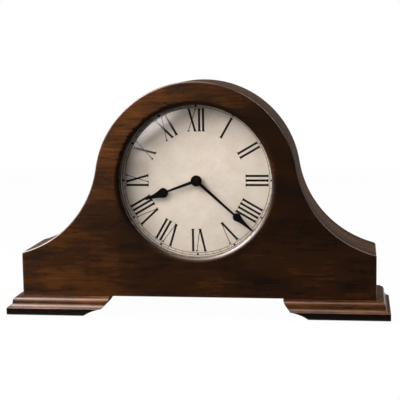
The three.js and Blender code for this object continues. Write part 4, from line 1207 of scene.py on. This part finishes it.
@dataclass
class CaseBody(Assembly):
    """The bent top, the back panel, the end panels and the bottom board."""

    outline: CaseOutline = CaseOutline()
    front: float = FRONT_THICKNESS
    back: float = 73.0
    depth: float = 81.0
    wrap_thickness: float = 5.0
    grain_height: float = 0.2
    joint_line: float = 0.45
    joint_steps: int = 2
    arris: float = 1.5
    arris_steps: int = 4
    opening: Flat = (75.0, 120.0)
    opening_middle: float = 117.5
    opening_ease: float = 0.4
    opening_angle: float = 60.0

    def build_wrap(self) -> None:
        """Build the bent top and store the run of its grain."""
        ring = self.outline.rounded_top_line() + self.outline.top_line(self.wrap_thickness)[::-1]
        points = [at_case(x, self.front, z) for x, z in ring]
        wrap = slab("case_wrap_wood", points, inward(self.back - self.front))
        bevel_rim(wrap, self.back, self.joint_line, self.joint_steps)
        shade(wrap)
        grain = wrap.data.attributes.new("grain", "FLOAT_VECTOR", "POINT")
        for point, vertex in zip(grain.data, wrap.data.vertices):
            place = (vertex.co - CASE_CORNER) / MM
            point.vector = (self.outline.run(place.x, place.z) * MM, vertex.co.y, self.grain_height)
        mount(wrap, self.palette["wood_bent"], "case", "lacquered_wood", "case_wrap")

    def build_back(self) -> None:
        """Build the back panel with the opening for the door."""
        points = [at_case(x, self.back, z) for x, z in self.outline.panel()]
        panel = slab("back_panel_wood", points, inward(self.depth - self.back))
        bevel_rim(panel, self.depth, self.arris, self.arris_steps)
        middle = at_case(0.0, self.back - BEYOND, self.opening_middle)
        corners = rectangle(middle, self.opening[0], self.opening[1] / 2)
        cut(panel, slab("door_opening_tool", corners, inward(self.depth - self.back + 2 * BEYOND)))
        ease(panel, self.opening_ease, angle=self.opening_angle)
        mount(panel, self.palette["wood_wide"], "case", "lacquered_wood", "back_panel")

    def build(self) -> None:
        """Build and dress the rest of the case."""
        self.build_wrap()
        self.build_back()
        dress(self.palette["wood_deep"], "left_end_panel", "right_end_panel")
        dress(self.palette["wood_wide"], "bottom_board")


@dataclass
class Feet(Assembly):
    """Two feet, each a front and a side length of moulding, and their felt pads."""

    half_width: float = CaseOutline.half_width
    height: float = 18.4
    plinth_out: float = 14.5
    plinth_height: float = 7.6
    plinth_rounding: float = 0.9
    bead_out: float = 9.3
    bead_bottom: float = 6.4
    cove_out: float = 0.3
    cove_drop: float = 3.4
    ledge_out: float = 5.0
    quirk: float = 0.8
    inset: float = 22.0
    inner_top: float = 91.0
    inner_bottom: float = 117.5
    step_depth: float = 11.0
    step_run: float = 7.5
    sweep_low: Flat = (0.3, 0.55)
    sweep_high: Flat = (0.35, 0.15)
    step_round: Flat = (0.35, 0.6)
    back_end: float = 78.0
    mitre_gap: float = 0.05
    edge: float = 0.35
    curve_steps: int = 10
    pad_edge: float = 0.3
    pad_angle: float = 50.0
    pad_steps: int = 40

    def profile(self) -> list[Flat]:
        """List the moulding's profile as distance outward and height.

        Returns:
            The points from the inner bottom corner round to the inner top corner.
        """
        low = -self.height
        top = low + self.plinth_height
        out, soft = self.plinth_out, self.plinth_rounding
        steps = self.curve_steps
        points = [(-self.inset, low), (out - soft, low)]
        points += bend_points(((out - soft, low), (out, low), (out, low + soft)), steps // 2)
        points += [(out, top - soft)]
        points += bend_points(((out, top - soft), (out, top), (out - soft, top)), steps // 2)
        bead = (self.bead_out, -self.bead_bottom)
        hollow = (self.bead_out + self.cove_out, -self.bead_bottom - self.cove_drop)
        points += bend_points(((out - soft, top), hollow, bead), steps)
        points += bend_points((bead, (self.bead_out, -self.quirk), (self.ledge_out, -self.quirk)), steps)
        return points + [(self.ledge_out, 0.0), (-self.inset, 0.0)]

    def bracket_tool(self, side: int) -> Piece:
        """Build the tool that shapes the inner end of a foot.

        Args:
            side: 1 for the right foot, -1 for the left.

        Returns:
            The tool.
        """
        step = (self.inner_top + self.step_run, -self.step_depth)
        low = (self.inner_bottom, -self.height)
        sweep, drop = low[0] - step[0], step[1] - low[1]
        inner, under = self.inner_top - self.inset, low[1] - BEYOND
        points = [(inner, BEYOND), (inner, under), (low[0], under), low]
        rise = (low[0] - self.sweep_low[0] * sweep, low[1] + self.sweep_low[1] * drop)
        level = (step[0] + self.sweep_high[0] * sweep, step[1] - self.sweep_high[1] * drop)
        points += bend_points((low, rise, level, step), 2 * self.curve_steps)
        handle = (self.inner_top + self.step_round[0] * self.step_run, self.step_round[1] * step[1])
        points += bend_points((step, handle, (self.inner_top, 0.0)), self.curve_steps)
        points += [(self.inner_top, BEYOND)]
        corners = [at_case(side * x, -self.plinth_out - BEYOND, z) for x, z in points]
        return slab("bracket_tool", corners, inward(self.plinth_out + self.inset + 2 * BEYOND))

    def mitre(self, piece: Piece, side: int, across: int) -> None:
        """Cut a moulding along the mitre of its outer corner.

        Args:
            piece: The moulding, longer than it has to be.
            side: 1 for the right foot, -1 for the left.
            across: 1 where the front length stays, -1 where the side length does.
        """
        normal = Vector((side * across, across, 0)).normalized()
        corner = at_case(side * self.half_width, 0.0, 0.0) - self.mitre_gap * MM * normal
        open_mesh(piece)
        bpy.ops.mesh.bisect(plane_co=corner, plane_no=normal, use_fill=True, clear_outer=True)
        close_mesh()
        settle(piece)

    def build_front(self, side: int, word: str) -> None:
        """Build the front length of one foot.

        Args:
            side: 1 for the right foot, -1 for the left.
            word: The side's word in the names.
        """
        start = self.inner_top - self.inset / 2
        points = [at_case(side * start, -out, up) for out, up in self.profile()]
        length = self.half_width + 2 * self.plinth_out - start
        piece = slab(f"{word}_foot_front_wood", points, MM * Vector((side * length, 0, 0)))
        self.mitre(piece, side, 1)
        cut(piece, self.bracket_tool(side))
        ease(piece, self.edge)
        mount(piece, self.palette["foot_wide"], "case", "lacquered_wood", f"{word}_foot_front_moulding")

    def build_side(self, side: int, word: str) -> None:
        """Build the side length of one foot.

        Args:
            side: 1 for the right foot, -1 for the left.
            word: The side's word in the names.
        """
        points = [at_case(side * (self.half_width + out), self.back_end, up) for out, up in self.profile()]
        piece = slab(f"{word}_foot_side_wood", points, inward(-self.back_end - 2 * self.plinth_out))
        self.mitre(piece, side, -1)
        ease(piece, self.edge)
        mount(piece, self.palette["foot_deep"], "case", "lacquered_wood", f"{word}_foot_side_moulding")

    def build_pad(self, node: str) -> None:
        """Build one felt pad with a soft edge.

        Args:
            node: Name of the pad's solid.
        """
        low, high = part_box(node)
        middle = (low + high) / 2
        radius, half, soft = (high.x - low.x) / 2, (high.z - low.z) / 2, self.pad_edge * MM
        profile = [(0.0, -half), (radius - soft, -half), (radius, -half + soft)]
        profile += [(out, -up) for out, up in reversed(profile)]
        points = [middle + Vector((out, 0, up)) for out, up in profile]
        pad = turned(f"{node}_felt", points, middle, Vector((0, 0, 1)), self.pad_steps)
        shade(pad, self.pad_angle)
        mount(pad, self.palette["felt"], "case", "felt", node)

    def build(self) -> None:
        """Build and dress both feet."""
        for side, word in ((1, "right"), (-1, "left")):
            self.build_front(side, word)
            self.build_side(side, word)
            for place in ("front", "rear"):
                self.build_pad(f"{word}_{place}_felt_pad")


@dataclass
class Glazing(Assembly):
    """The domed glass and the card ring that holds it off the dial."""

    dome_radius: float = 79.2
    rise: float = 9.0
    seat: float = 10.5
    thickness: float = 2.0
    flange_radius: float = 85.8
    dome_steps: int = 20
    round_steps: int = 128
    smooth_angle: float = 30.0

    def dome(self, seat: float) -> list[Flat]:
        """List one face of the dome from its middle outward.

        Args:
            seat: Depth of the dome's edge.

        Returns:
            Points as radius and depth.
        """
        sphere = (self.dome_radius**2 + self.rise**2) / (2 * self.rise)
        found = []
        for step in range(self.dome_steps + 1):
            radius = self.dome_radius * step / self.dome_steps
            lift = math.sqrt(sphere**2 - radius**2) - (sphere - self.rise)
            found.append((radius, seat - lift))
        return found

    def build(self) -> None:
        """Build and dress the glass, and dress the ring."""
        back = self.seat + self.thickness
        flange = [(self.flange_radius, self.seat), (self.flange_radius, back)]
        profile = self.dome(self.seat) + flange + self.dome(back)[::-1]
        glass = turned_on_dial("dial_glass", profile, self.round_steps)
        shade(glass, self.smooth_angle)
        mount(glass, self.palette["glass"], "case", "clear_glass", "domed_glass")
        dress(self.palette["card"], "dial_spacer_ring")


class Glyph(Enum):
    """The three shapes that make Roman numerals."""

    BAR = "bar"
    VEE = "vee"
    CROSS = "cross"


BAR, VEE, CROSS = Glyph


@dataclass
class DialFace(Assembly):
    """The dial with its numerals, minute track and dots."""

    face: float = (DIAL_LOW.y - PANEL_LOW.y) / MM
    print_height: float = 0.06
    fine_share: float = 0.8
    line_share: float = 0.6
    tick_share: float = 0.7
    sunk: float = 0.03
    numeral_inner: float = 51.1
    numeral_outer: float = 75.0
    thick: float = 2.3
    thin: float = 0.7
    serif: float = 3.5
    thin_serif: float = 2.7
    serif_height: float = 0.45
    flare: float = 1.5
    track: Flat = (76.4, 79.0)
    track_line: float = 0.5
    track_steps: int = 180
    tick_width: float = 0.4
    dot_radius: float = 1.15
    dot_place: float = 78.0
    dot_steps: int = 20
    pairs: tuple[tuple[Glyph, Flat, Flat], ...] = (
        (VEE, (0.0, -5.6), (0.3, 3.5)),
        (CROSS, (3.3, -3.5), (-4.0, 3.9)),
    )
    numerals: tuple[tuple[tuple[Glyph, float], ...], ...] = (
        ((CROSS, -4.2), (BAR, 3.35), (BAR, 7.5)),
        ((BAR, 0.0),),
        ((BAR, -2.45), (BAR, 2.45)),
        ((BAR, -4.75), (BAR, 0.0), (BAR, 4.75)),
        ((BAR, -7.0), (BAR, -2.3), (BAR, 2.3), (BAR, 7.0)),
        ((VEE, 0.1),),
        ((VEE, -2.6), (BAR, 4.9)),
        ((VEE, -3.8), (BAR, 2.9), (BAR, 7.5)),
        ((VEE, -5.0), (BAR, 1.8), (BAR, 6.4), (BAR, 11.1)),
        ((BAR, -4.9), (CROSS, 2.2)),
        ((CROSS, 0.0),),
        ((CROSS, -2.1), (BAR, 6.2)),
    )

    def raised(self, name: str, shape: Sequence[Flat], share: float = 1.0) -> Piece:
        """Build a print mark at the top of the dial from offsets and radii, with a share of the height."""
        points = [at_dial(x, self.face + self.sunk, z) for x, z in shape]
        return slab(name, points, inward(-share * self.print_height - self.sunk))

    def stroke(self, name: str, ends: Flat, width: float, serif: float, share: float = 1.0) -> Piece:
        """Build one stroke of a numeral with flared ends.

        Args:
            name: Name of the stroke.
            ends: Offsets of its inner and outer end.
            width: Width of the stroke.
            serif: Width of its flared ends.
            share: Share of the print's full height.

        Returns:
            The stroke.
        """
        reach = self.numeral_outer - self.numeral_inner
        levels = (0.0, self.serif_height, self.flare, reach - self.flare, reach - self.serif_height, reach)
        right, left = [], []
        for level, wide in zip(levels, (serif, serif, width, width, serif, serif)):
            middle = ends[0] + (ends[1] - ends[0]) * level / reach
            right.append((middle + wide / 2, self.numeral_inner + level))
            left.append((middle - wide / 2, self.numeral_inner + level))
        return self.raised(name, right + left[::-1], share)

    def glyphs(self) -> dict[Glyph, Piece]:
        """Build the three shapes once.

        Returns:
            The shapes, each at twelve o'clock.
        """
        shapes = {BAR: self.stroke("bar", (0.0, 0.0), self.thick, self.serif)}
        for glyph, heavy_ends, fine_ends in self.pairs:
            heavy = self.stroke(f"{glyph.value}_heavy", heavy_ends, self.thick, self.serif)
            fine = self.stroke(f"{glyph.value}_fine", fine_ends, self.thin, self.thin_serif, self.fine_share)
            shapes[glyph] = joined(glyph.value, [heavy, fine])
        return shapes

    def build_numerals(self) -> None:
        """Build the twelve numerals from copies of the three shapes."""
        shapes = self.glyphs()
        marks = []
        for hour, numeral in enumerate(self.numerals):
            for glyph, offset in numeral:
                mark = copied(shapes[glyph], f"numeral_{hour}_{len(marks)}")
                move_piece(mark, MM * Vector((offset, 0, 0)))
                turn_piece(mark, TAU * hour / len(self.numerals))
                marks.append(mark)
        for shape in shapes.values():
            remove(shape)
        mount(joined("dial_numerals", marks), self.palette["ink"], "case", "black_enamel")

    def line_ring(self, name: str, radius: float) -> Piece:
        """Build one thin line round the dial.

        Args:
            name: Name of the line.
            radius: Radius of its middle.

        Returns:
            The line.
        """
        low, high = radius - self.track_line / 2, radius + self.track_line / 2
        back, front = self.face + self.sunk, self.face - self.line_share * self.print_height
        profile = [(low, back), (low, front), (high, front), (high, back), (low, back)]
        return turned_on_dial(name, profile, self.track_steps)

    def build_track(self) -> None:
        """Build the minute track and its dots."""
        inner, outer = self.track
        marks = [self.line_ring("track_inner", inner), self.line_ring("track_outer", outer)]
        half = self.tick_width / 2
        corners = ((-half, inner), (half, inner), (half, outer), (-half, outer))
        tick = self.raised("tick", corners, self.tick_share)
        circle = arc_points((0.0, self.dot_place), self.dot_radius, 0.0, TAU, self.dot_steps)
        dot = self.raised("dot", circle[:-1])
        for minute in range(60):
            mark = copied(tick if minute % 5 else dot, f"minute_{minute}")
            turn_piece(mark, TAU * minute / 60)
            marks.append(mark)
        remove(tick)
        remove(dot)
        mount(joined("dial_minute_track", marks), self.palette["ink"], "case", "black_enamel")

    def build(self) -> None:
        """Dress the dial and build its print."""
        dress(self.palette["dial"], "dial")
        self.build_numerals()
        self.build_track()


@dataclass(frozen=True)
class HandSizes:
    """Sizes of one hand, in millimetres, and where it stands."""

    node: str
    body: str
    length: float
    bulb_place: float
    bulb_width: float
    front: float
    bore: float
    minutes: float


@dataclass
class HandSet(Assembly):
    """The two hands and the cap that holds them."""

    shaft: float = 3.4
    neck: float = 2.2
    hub: float = 4.6
    thickness: float = 0.8
    edge: float = 0.18
    edge_angle: float = 50.0
    flank_angle: float = 0.47
    hollow: Flat = (0.43, 1.35)
    point: float = 0.18
    bore_span: Flat = (-1.0, 2.0)
    bore_steps: int = 32
    cap_radius: float = 5.9
    cap_height: float = 2.8
    cap_back: float = 13.85
    cap_bore: Flat = (0.98, 1.5)
    cap_angle: float = 40.0
    cap_steps: int = 64
    curve_steps: int = 14
    hands: tuple[HandSizes, ...] = (
        HandSizes("hour_hand", "hour_hand_set", 57.9, 37.6, 10.5, 15.35, 2.53, (8 + 22 / 60) * 5 - 1 / 6),
        HandSizes("minute_hand", "minute_hand_set", 78.5, 56.7, 8.8, 13.85, 0.98, 22.0),
    )

    def outline(self, sizes: HandSizes) -> list[Flat]:
        """List the outline of a hand that points to twelve.

        Args:
            sizes: Sizes of the hand.

        Returns:
            The points as offset and distance from the hub's middle.
        """
        bulb, place = sizes.bulb_width / 2, sizes.bulb_place
        hub_angle = math.asin(self.shaft / 2 / self.hub)
        start, end = math.pi / 2 + hub_angle, 2.5 * math.pi - hub_angle
        hub = arc_points((0.0, 0.0), self.hub, start, end, 3 * self.curve_steps)
        first = math.asin(self.neck / 2 / bulb) - math.pi / 2
        right = arc_points((0.0, place), bulb, first, self.flank_angle, 2 * self.curve_steps)
        hollow = (self.hollow[0] * bulb, place + self.hollow[1] * bulb)
        right += bend_points((right[-1], hollow, (self.point * bulb, sizes.length)), self.curve_steps)
        return hub + right + [(-x, z) for x, z in reversed(right)]

    def build_hand(self, sizes: HandSizes) -> None:
        """Build and dress one hand.

        Args:
            sizes: Sizes of the hand.
        """
        points = [at_dial(x, sizes.front, z) for x, z in self.outline(sizes)]
        hand = slab(f"{sizes.node}_enamel", points, inward(self.thickness))
        front, back = (sizes.front + depth for depth in self.bore_span)
        profile = [(0.0, front), (sizes.bore, front), (sizes.bore, back), (0.0, back)]
        cut(hand, turned_on_dial("hand_bore_tool", profile, self.bore_steps))
        ease(hand, self.edge, angle=self.edge_angle)
        turn_piece(hand, TAU * sizes.minutes / 60)
        mount(hand, self.palette["enamel"], sizes.body, "black_enamel", sizes.node)

    def build_cap(self) -> None:
        """Build and dress the cap nut, a low dome with a bored back."""
        back = self.cap_back
        profile = []
        for step in range(self.curve_steps + 1):
            turn = step / self.curve_steps * math.pi / 2
            profile.append((self.cap_radius * math.sin(turn), back - self.cap_height * math.cos(turn)))
        bore, depth = self.cap_bore
        profile += [(bore, back), (bore, back - depth), (0.0, back - depth)]
        cap = turned_on_dial("hand_cap_enamel", profile, self.cap_steps)
        shade(cap, self.cap_angle)
        mount(cap, self.palette["enamel"], "minute_hand_set", "black_enamel", "hand_cap_nut")

    def build(self) -> None:
        """Build the hands and their cap."""
        for sizes in self.hands:
            self.build_hand(sizes)
        self.build_cap()


@dataclass
class Movement(Assembly):
    """The quartz movement, its mounting board, its train and its battery."""

    nub_radius: float = 2.7
    nub_height: float = 1.0
    crimp: float = 0.3
    shoulder: float = 0.8
    battery_steps: int = 64
    battery_angle: float = 40.0
    screw_count: int = 4
    screw_ease: float = 0.12
    slot_size: Triple = (5.0, 0.8, 0.7)
    eased: tuple[tuple[str, str, str, str, float], ...] = (
        ("movement_front_shell", "plastic", "case", "black_plastic", 0.6),
        ("movement_middle_plate", "gear", "case", "gear_plastic", 0.2),
        ("movement_rear_shell", "plastic", "case", "black_plastic", 0.6),
        ("movement_board", "board", "case", "plain_board", 0.4),
        ("setting_knob", "plastic", "setting_knob", "black_plastic", 0.15),
        ("rubber_washer", "rubber", "case", "rubber", 0.2),
        ("brass_washer", "brass", "case", "brass", 0.12),
        ("movement_hex_nut", "brass", "case", "brass", 0.25),
        ("battery_contact_positive", "steel", "case", "steel", 0.1),
        ("battery_contact_negative", "steel", "case", "steel", 0.1),
        ("quartz_can", "steel", "case", "steel", 0.25),
    )
    gears: tuple[str, ...] = (
        "hour_wheel",
        "minute_wheel",
        "drive_wheel",
        "third_wheel",
        "fourth_wheel",
        "idler_wheel",
        "motor_rotor",
    )

    def build_screws(self) -> None:
        """Build the board's screws, each with a slot across its head."""
        half_length, width, depth = self.slot_size
        for number in range(1, self.screw_count + 1):
            node = f"board_screw_{number}"
            screw = fine_copy(node)
            low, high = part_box(node)
            bottom = Vector(((low.x + high.x) / 2, high.y - depth * MM, (low.z + high.z) / 2))
            cut_slot(screw, bottom, half_length, width)
            ease(screw, self.screw_ease)
            mount(screw, self.palette["steel"], "case", "steel", node)

    def build_battery(self) -> None:
        """Build the battery with its crimped ends and raised terminal."""
        low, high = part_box("battery")
        middle = (low + high) / 2
        radius, nub = (high.z - low.z) / 2, self.nub_radius * MM
        left, right, top = low.x, high.x, high.x - self.nub_height * MM
        crimp, soft = self.crimp * MM, self.shoulder * MM
        profile = [
            (left, 0.0),
            (left, 0.58 * radius),
            (left + crimp, 0.62 * radius),
            (left + crimp, 0.8 * radius),
            (left, 0.88 * radius),
            (left + crimp, 0.97 * radius),
            (left + soft, radius),
            (top - soft, radius),
            (top - 0.5 * crimp, 0.97 * radius),
            (top, 0.9 * radius),
            (top - crimp, 0.82 * radius),
            (top - crimp, nub + crimp),
            (top, nub),
            (right - crimp, nub),
            (right, nub - crimp),
            (right, 0.0),
        ]
        points = [Vector((x, middle.y, middle.z + out)) for x, out in profile]
        battery = turned("battery_cell", points, middle, Vector((1, 0, 0)), self.battery_steps)
        shade(battery, self.battery_angle)
        mount(battery, self.palette["jacket"], "case", "battery_jacket", "battery")

    def build(self) -> None:
        """Build the movement and dress its train."""
        for node, finish, body, place, width in self.eased:
            mount_eased(node, self.palette[finish], body, place, width)
        self.build_screws()
        self.build_battery()
        dress(self.palette["gear"], *self.gears)
        dress(self.palette["steel"], "minute_arbor", "stator_plate", "coil_core")
        dress(self.palette["copper"], "coil_winding")
        dress(self.palette["laminate"], "circuit_board")


@dataclass
class AccessDoor(Assembly):
    """The door in the back with its hinges, pull, catch and strike."""

    screw_radius: float = 2.1
    screw_height: float = 0.5
    screw_rim: float = 0.1
    screw_sunk: float = 0.3
    screw_steps: tuple[int, int] = (6, 32)
    screw_out: float = 9.0
    screw_up: float = 9.0
    hinge_axis: float = -74.5
    leaf_face: float = 82.0
    leaf_ease: float = 0.15
    pin_ease: float = 0.3
    slot_width: float = 0.5
    slot_depth: float = 0.35
    pull_foot: Flat = (0.8, 0.6)
    pull_neck: Flat = (0.52, 2.6)
    pull_waist: float = 0.9
    pull_swell: float = 2.9
    pull_wide: float = 4.9
    pull_steps: tuple[int, int, int] = (8, 12, 48)
    smooth_angle: float = 40.0
    fine_steps: int = 3
    eased: tuple[tuple[str, str, str, str, float], ...] = (
        ("access_door", "wood_wide", "access_door", "lacquered_wood", 0.8),
        ("strike_plate", "steel", "access_door", "steel", 0.12),
        ("magnet_catch", "plastic", "case", "black_plastic", 0.5),
    )

    def build_screw(self) -> Piece:
        """Build one low screw head with a slot, at the case's lower middle, to be copied.

        Returns:
            The screw head.
        """
        radius, rim = self.screw_radius, self.screw_rim
        arc_steps, round_steps = self.screw_steps
        profile = [(0.0, -self.screw_sunk), (radius, -self.screw_sunk), (radius, rim)]
        for step in range(1, arc_steps + 1):
            turn = step / arc_steps * math.pi / 2
            profile.append((radius * math.cos(turn), rim + (self.screw_height - rim) * math.sin(turn)))
        points = [at_case(out, self.leaf_face + up, 0.0) for out, up in profile]
        screw = turned("hinge_screw", points, CASE_CORNER, DEPTH_AXIS, round_steps)
        bottom = at_case(0.0, self.leaf_face + self.screw_height - self.slot_depth, 0.0)
        cut_slot(screw, bottom, 2 * radius, self.slot_width)
        shade(screw, self.smooth_angle)
        return screw

    def build_leaf(self, node: str, body: str, x: float, screw: Piece) -> None:
        """Build one hinge leaf and its two screws.

        Args:
            node: Name of the leaf's solid.
            body: The body that carries it.
            x: Distance of the screws to the right of the case's middle.
            screw: The screw head to copy.
        """
        low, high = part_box(node)
        up = ((low.z + high.z) / 2 - CASE_CORNER.z) / MM
        mount_eased(node, self.palette["brass"], body, "brass", self.leaf_ease)
        heads = []
        for step in (-1, 1):
            head = copied(screw, f"{node}_screw_{len(heads)}")
            move_piece(head, MM * Vector((x, 0, up + step * self.screw_up)))
            heads.append(head)
        mount(joined(f"{node}_screws", heads), self.palette["brass"], body, "brass")

    def build_hinges(self) -> None:
        """Build the hinge leaves, their pins and their screws."""
        screw = self.build_screw()
        for place in ("lower", "upper"):
            for leaf, body, side in (("case", "case", -1), ("door", "access_door", 1)):
                x = self.hinge_axis + side * self.screw_out
                self.build_leaf(f"{place}_hinge_{leaf}_leaf", body, x, screw)
            pin = f"{place}_hinge_pin"
            mount_eased(pin, self.palette["brass"], "case", "brass", self.pin_ease, self.fine_steps)
        remove(screw)

    def build_pull(self) -> None:
        """Build the turned pull."""
        low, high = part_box("door_pull")
        middle = (low + high) / 2
        radius, length = (high.x - low.x) / 2 / MM, (high.y - low.y) / MM
        steps, end_steps, round_steps = self.pull_steps
        foot = (self.pull_foot[0] * radius, self.pull_foot[1])
        neck = (self.pull_neck[0] * radius, self.pull_neck[1])
        wide = (radius, self.pull_wide)
        profile = [(0.0, 0.0), (foot[0], 0.0), foot]
        profile += bend_points((foot, (neck[0], self.pull_waist), neck), steps)
        profile += bend_points((neck, (radius, self.pull_swell), wide), steps)
        profile += bend_points((wide, (radius, length), (0.0, length)), end_steps)
        points = [Vector((middle.x + out * MM, low.y + up * MM, middle.z)) for out, up in profile]
        pull = turned("door_pull_brass", points, middle, DEPTH_AXIS, round_steps)
        shade(pull, self.smooth_angle)
        mount(pull, self.palette["brass"], "access_door", "brass", "door_pull")

    def build(self) -> None:
        """Build the door and its fittings."""
        for node, finish, body, place, width in self.eased:
            mount_eased(node, self.palette[finish], body, place, width, self.fine_steps)
        self.build_hinges()
        self.build_pull()


@dataclass
class PhotoCamera:
    """The camera of the photograph: lens, direction and aim in millimetres and degrees."""

    lens: float = 102.57
    sensor: float = 36.0
    yaw: float = 7.966
    pitch: float = 7.487
    roll: float = -0.826
    distance: float = 1174.6
    target: Triple = (5.616, -36.75, 122.1)

    def place(self) -> None:
        """Add the camera and make it the scene's own."""
        away = bearing(self.yaw, self.pitch)
        location = MM * Vector(self.target) + away * self.distance * MM
        bpy.ops.object.camera_add(location=location)
        camera = bpy.context.object
        camera.name = "photo_camera"
        aim(camera, away, self.roll)
        camera.data.lens = self.lens
        camera.data.sensor_width = self.sensor
        bpy.context.scene.camera = camera
        LOG.info("camera at %s", tuple(round(value, 3) for value in location))


class LampShape(Enum):
    """The outline of a lamp."""

    ROUND = "ELLIPSE"
    OBLONG = "RECTANGLE"


@dataclass(frozen=True)
class Softbox:
    """One soft lamp: where it stands round the dial, its size and strength, and what it is seen on."""

    name: str
    azimuth: float
    elevation: float
    distance: float
    size: Flat
    power: float
    shape: LampShape = LampShape.ROUND
    soft: float = 0.3
    roll: float = 0.0
    matte: bool = True
    shiny: bool = True
    tint: Triple = (1.0, 0.91, 0.89)
    edge_power: float = 4.0

    def fade_round(self, desk: Desk, place: Socket) -> Socket:
        """Let a round lamp fall off from a bright core to a dark edge.

        Args:
            desk: Desk on the lamp's nodes.
            place: Place on the lamp, from 0 to 1 along both sides.

        Returns:
            The strength.
        """
        out = desk.math("MULTIPLY", desk.apart(place, (0.5, 0.5, 0.0)), 2.0)
        edge = desk.math("SUBTRACT", 1.0, desk.math("POWER", out, self.edge_power))
        spread = desk.math("ADD", 1.0, desk.math("POWER", desk.math("DIVIDE", out, self.soft), 2.0))
        return desk.math("DIVIDE", desk.math("MAXIMUM", edge, 0.0), desk.math("POWER", spread, 2.0))

    def fade_oblong(self, desk: Desk, place: Socket) -> Socket:
        """Let an oblong lamp fade along its four edges.

        Args:
            desk: Desk on the lamp's nodes.
            place: Place on the lamp, from 0 to 1 along both sides.

        Returns:
            The strength.
        """
        sides = desk.node("ShaderNodeSeparateXYZ", {0: place}).outputs
        share: Value = 1.0
        for side in "XY":
            inputs = {0: desk.math("PINGPONG", sides[side], 0.5), 1: 0.0, 2: self.soft, 3: 0.0, 4: 1.0}
            rising = desk.node("ShaderNodeMapRange", inputs, interpolation_type="SMOOTHSTEP")
            share = desk.math("MULTIPLY", share, rising.outputs[0])
        return share

    def place(self) -> None:
        """Add the lamp, aimed at the dial's middle."""
        away = bearing(self.azimuth, self.elevation)
        bpy.ops.object.light_add(type="AREA", location=DIAL_MIDDLE + away * self.distance)
        lamp = bpy.context.object
        lamp.name = self.name
        lamp.data.shape = self.shape.value
        lamp.data.size, lamp.data.size_y = self.size
        lamp.data.energy = self.power
        lamp.data.color = self.tint
        lamp.visible_diffuse = self.matte
        lamp.visible_glossy = self.shiny
        aim(lamp, away, self.roll)
        lamp.data.use_nodes = True
        desk = Desk(lamp.data.node_tree)
        place = desk.node("ShaderNodeNewGeometry", {}).outputs["Parametric"]
        fade = self.fade_round if self.shape is LampShape.ROUND else self.fade_oblong
        desk.feed(desk.tree.nodes["Emission"].inputs["Strength"], fade(desk, place))


@dataclass
class Studio(Assembly):
    """Floor, soft light and plain background."""

    floor_size: Flat = (3.0, 1.5)
    floor_front: float = -0.058
    around: float = 0.03
    behind: float = 0.085
    rise: Flat = (-0.2, 0.6)
    warmth: Triple = (1.0, 0.85, 0.76)
    lamps: tuple[Softbox, ...] = (
        Softbox("key_softbox", -60.0, 40.0, 1.5, (2.1, 2.1), 292.0, soft=0.575),
        Softbox("left_softbox", -98.0, 33.0, 1.2, (1.4, 1.4), 65.0, soft=0.7),
        Softbox("top_softbox", -120.0, 76.0, 1.0, (0.8, 0.8), 10.0, soft=0.9),
        Softbox("right_softbox", 105.0, 48.0, 1.1, (0.4, 1.2), 14.0, LampShape.OBLONG, 0.25),
        Softbox("back_softbox", 165.0, 45.0, 1.6, (1.2, 1.2), 40.0, soft=0.9, shiny=False),
        Softbox("glass_card", -27.8, 16.9, 1.3, (1.08, 0.25), 5.9, LampShape.OBLONG, 0.5, 40.0, False),
        Softbox("tail_card", -32.0, 4.5, 1.3, (0.4, 0.22), 0.7, LampShape.OBLONG, 0.6, 40.0, False),
        Softbox("over_card", -20.0, 68.0, 1.0, (1.1, 0.9), 11.0, LampShape.OBLONG, 0.4, matte=False),
        Softbox("left_card", -92.0, 2.0, 1.2, (0.9, 0.8), 14.0, LampShape.OBLONG, 0.4, matte=False),
    )

    def build_floor(self) -> None:
        """Add the pale floor."""
        bpy.ops.object.select_all(action="DESELECT")
        bpy.ops.mesh.primitive_plane_add(size=1.0)
        floor = bpy.context.object
        floor.name = "studio_floor"
        open_mesh(floor)
        bpy.ops.transform.resize(value=(*self.floor_size, 1.0))
        bpy.ops.transform.translate(value=(0.0, self.floor_front + self.floor_size[1] / 2, 0.0))
        close_mesh()
        floor.data.materials.append(self.palette["floor"])

    def build_world(self) -> None:
        """Set a soft surrounding light and a white background."""
        world = bpy.data.worlds.new("studio")
        world.use_nodes = True
        bpy.context.scene.world = world
        desk = Desk(world.node_tree)
        way = desk.node("ShaderNodeTexCoord", {}).outputs["Generated"]
        depth = desk.node("ShaderNodeSeparateXYZ", {0: way}).outputs["Y"]
        soft = desk.tree.nodes["Background"]
        desk.feed(soft.inputs["Color"], rgba(self.warmth))
        desk.feed(soft.inputs["Strength"], desk.ranged(depth, *self.rise, self.around, self.behind))
        white = desk.node("ShaderNodeBackground", {"Color": WHITE, "Strength": 1.0}).outputs[0]
        mixed = desk.by_ray("Is Camera Ray", 1.0, soft.outputs[0], white)
        desk.feed(desk.tree.nodes["World Output"].inputs["Surface"], mixed)

    def build(self) -> None:
        """Build the studio round the clock."""
        self.build_floor()
        self.build_world()
        for lamp in self.lamps:
            lamp.place()
        bpy.context.scene.view_settings.view_transform = "Standard"


def main() -> None:
    """Build every part of the clock and its studio."""
    logging.basicConfig(level=logging.INFO, format="%(name)s: %(message)s")
    PhotoCamera().place()
    effects = Effects()
    palette = {key: finish.make(effects) for key, finish in FINISHES.items()}
    parts = (CaseFront, CaseBody, Feet, Glazing, DialFace, HandSet, Movement, AccessDoor, Studio)
    for part in parts:
        part(palette).build()
    bpy.ops.object.select_all(action="DESELECT")


if __name__ == "__main__":
    main()
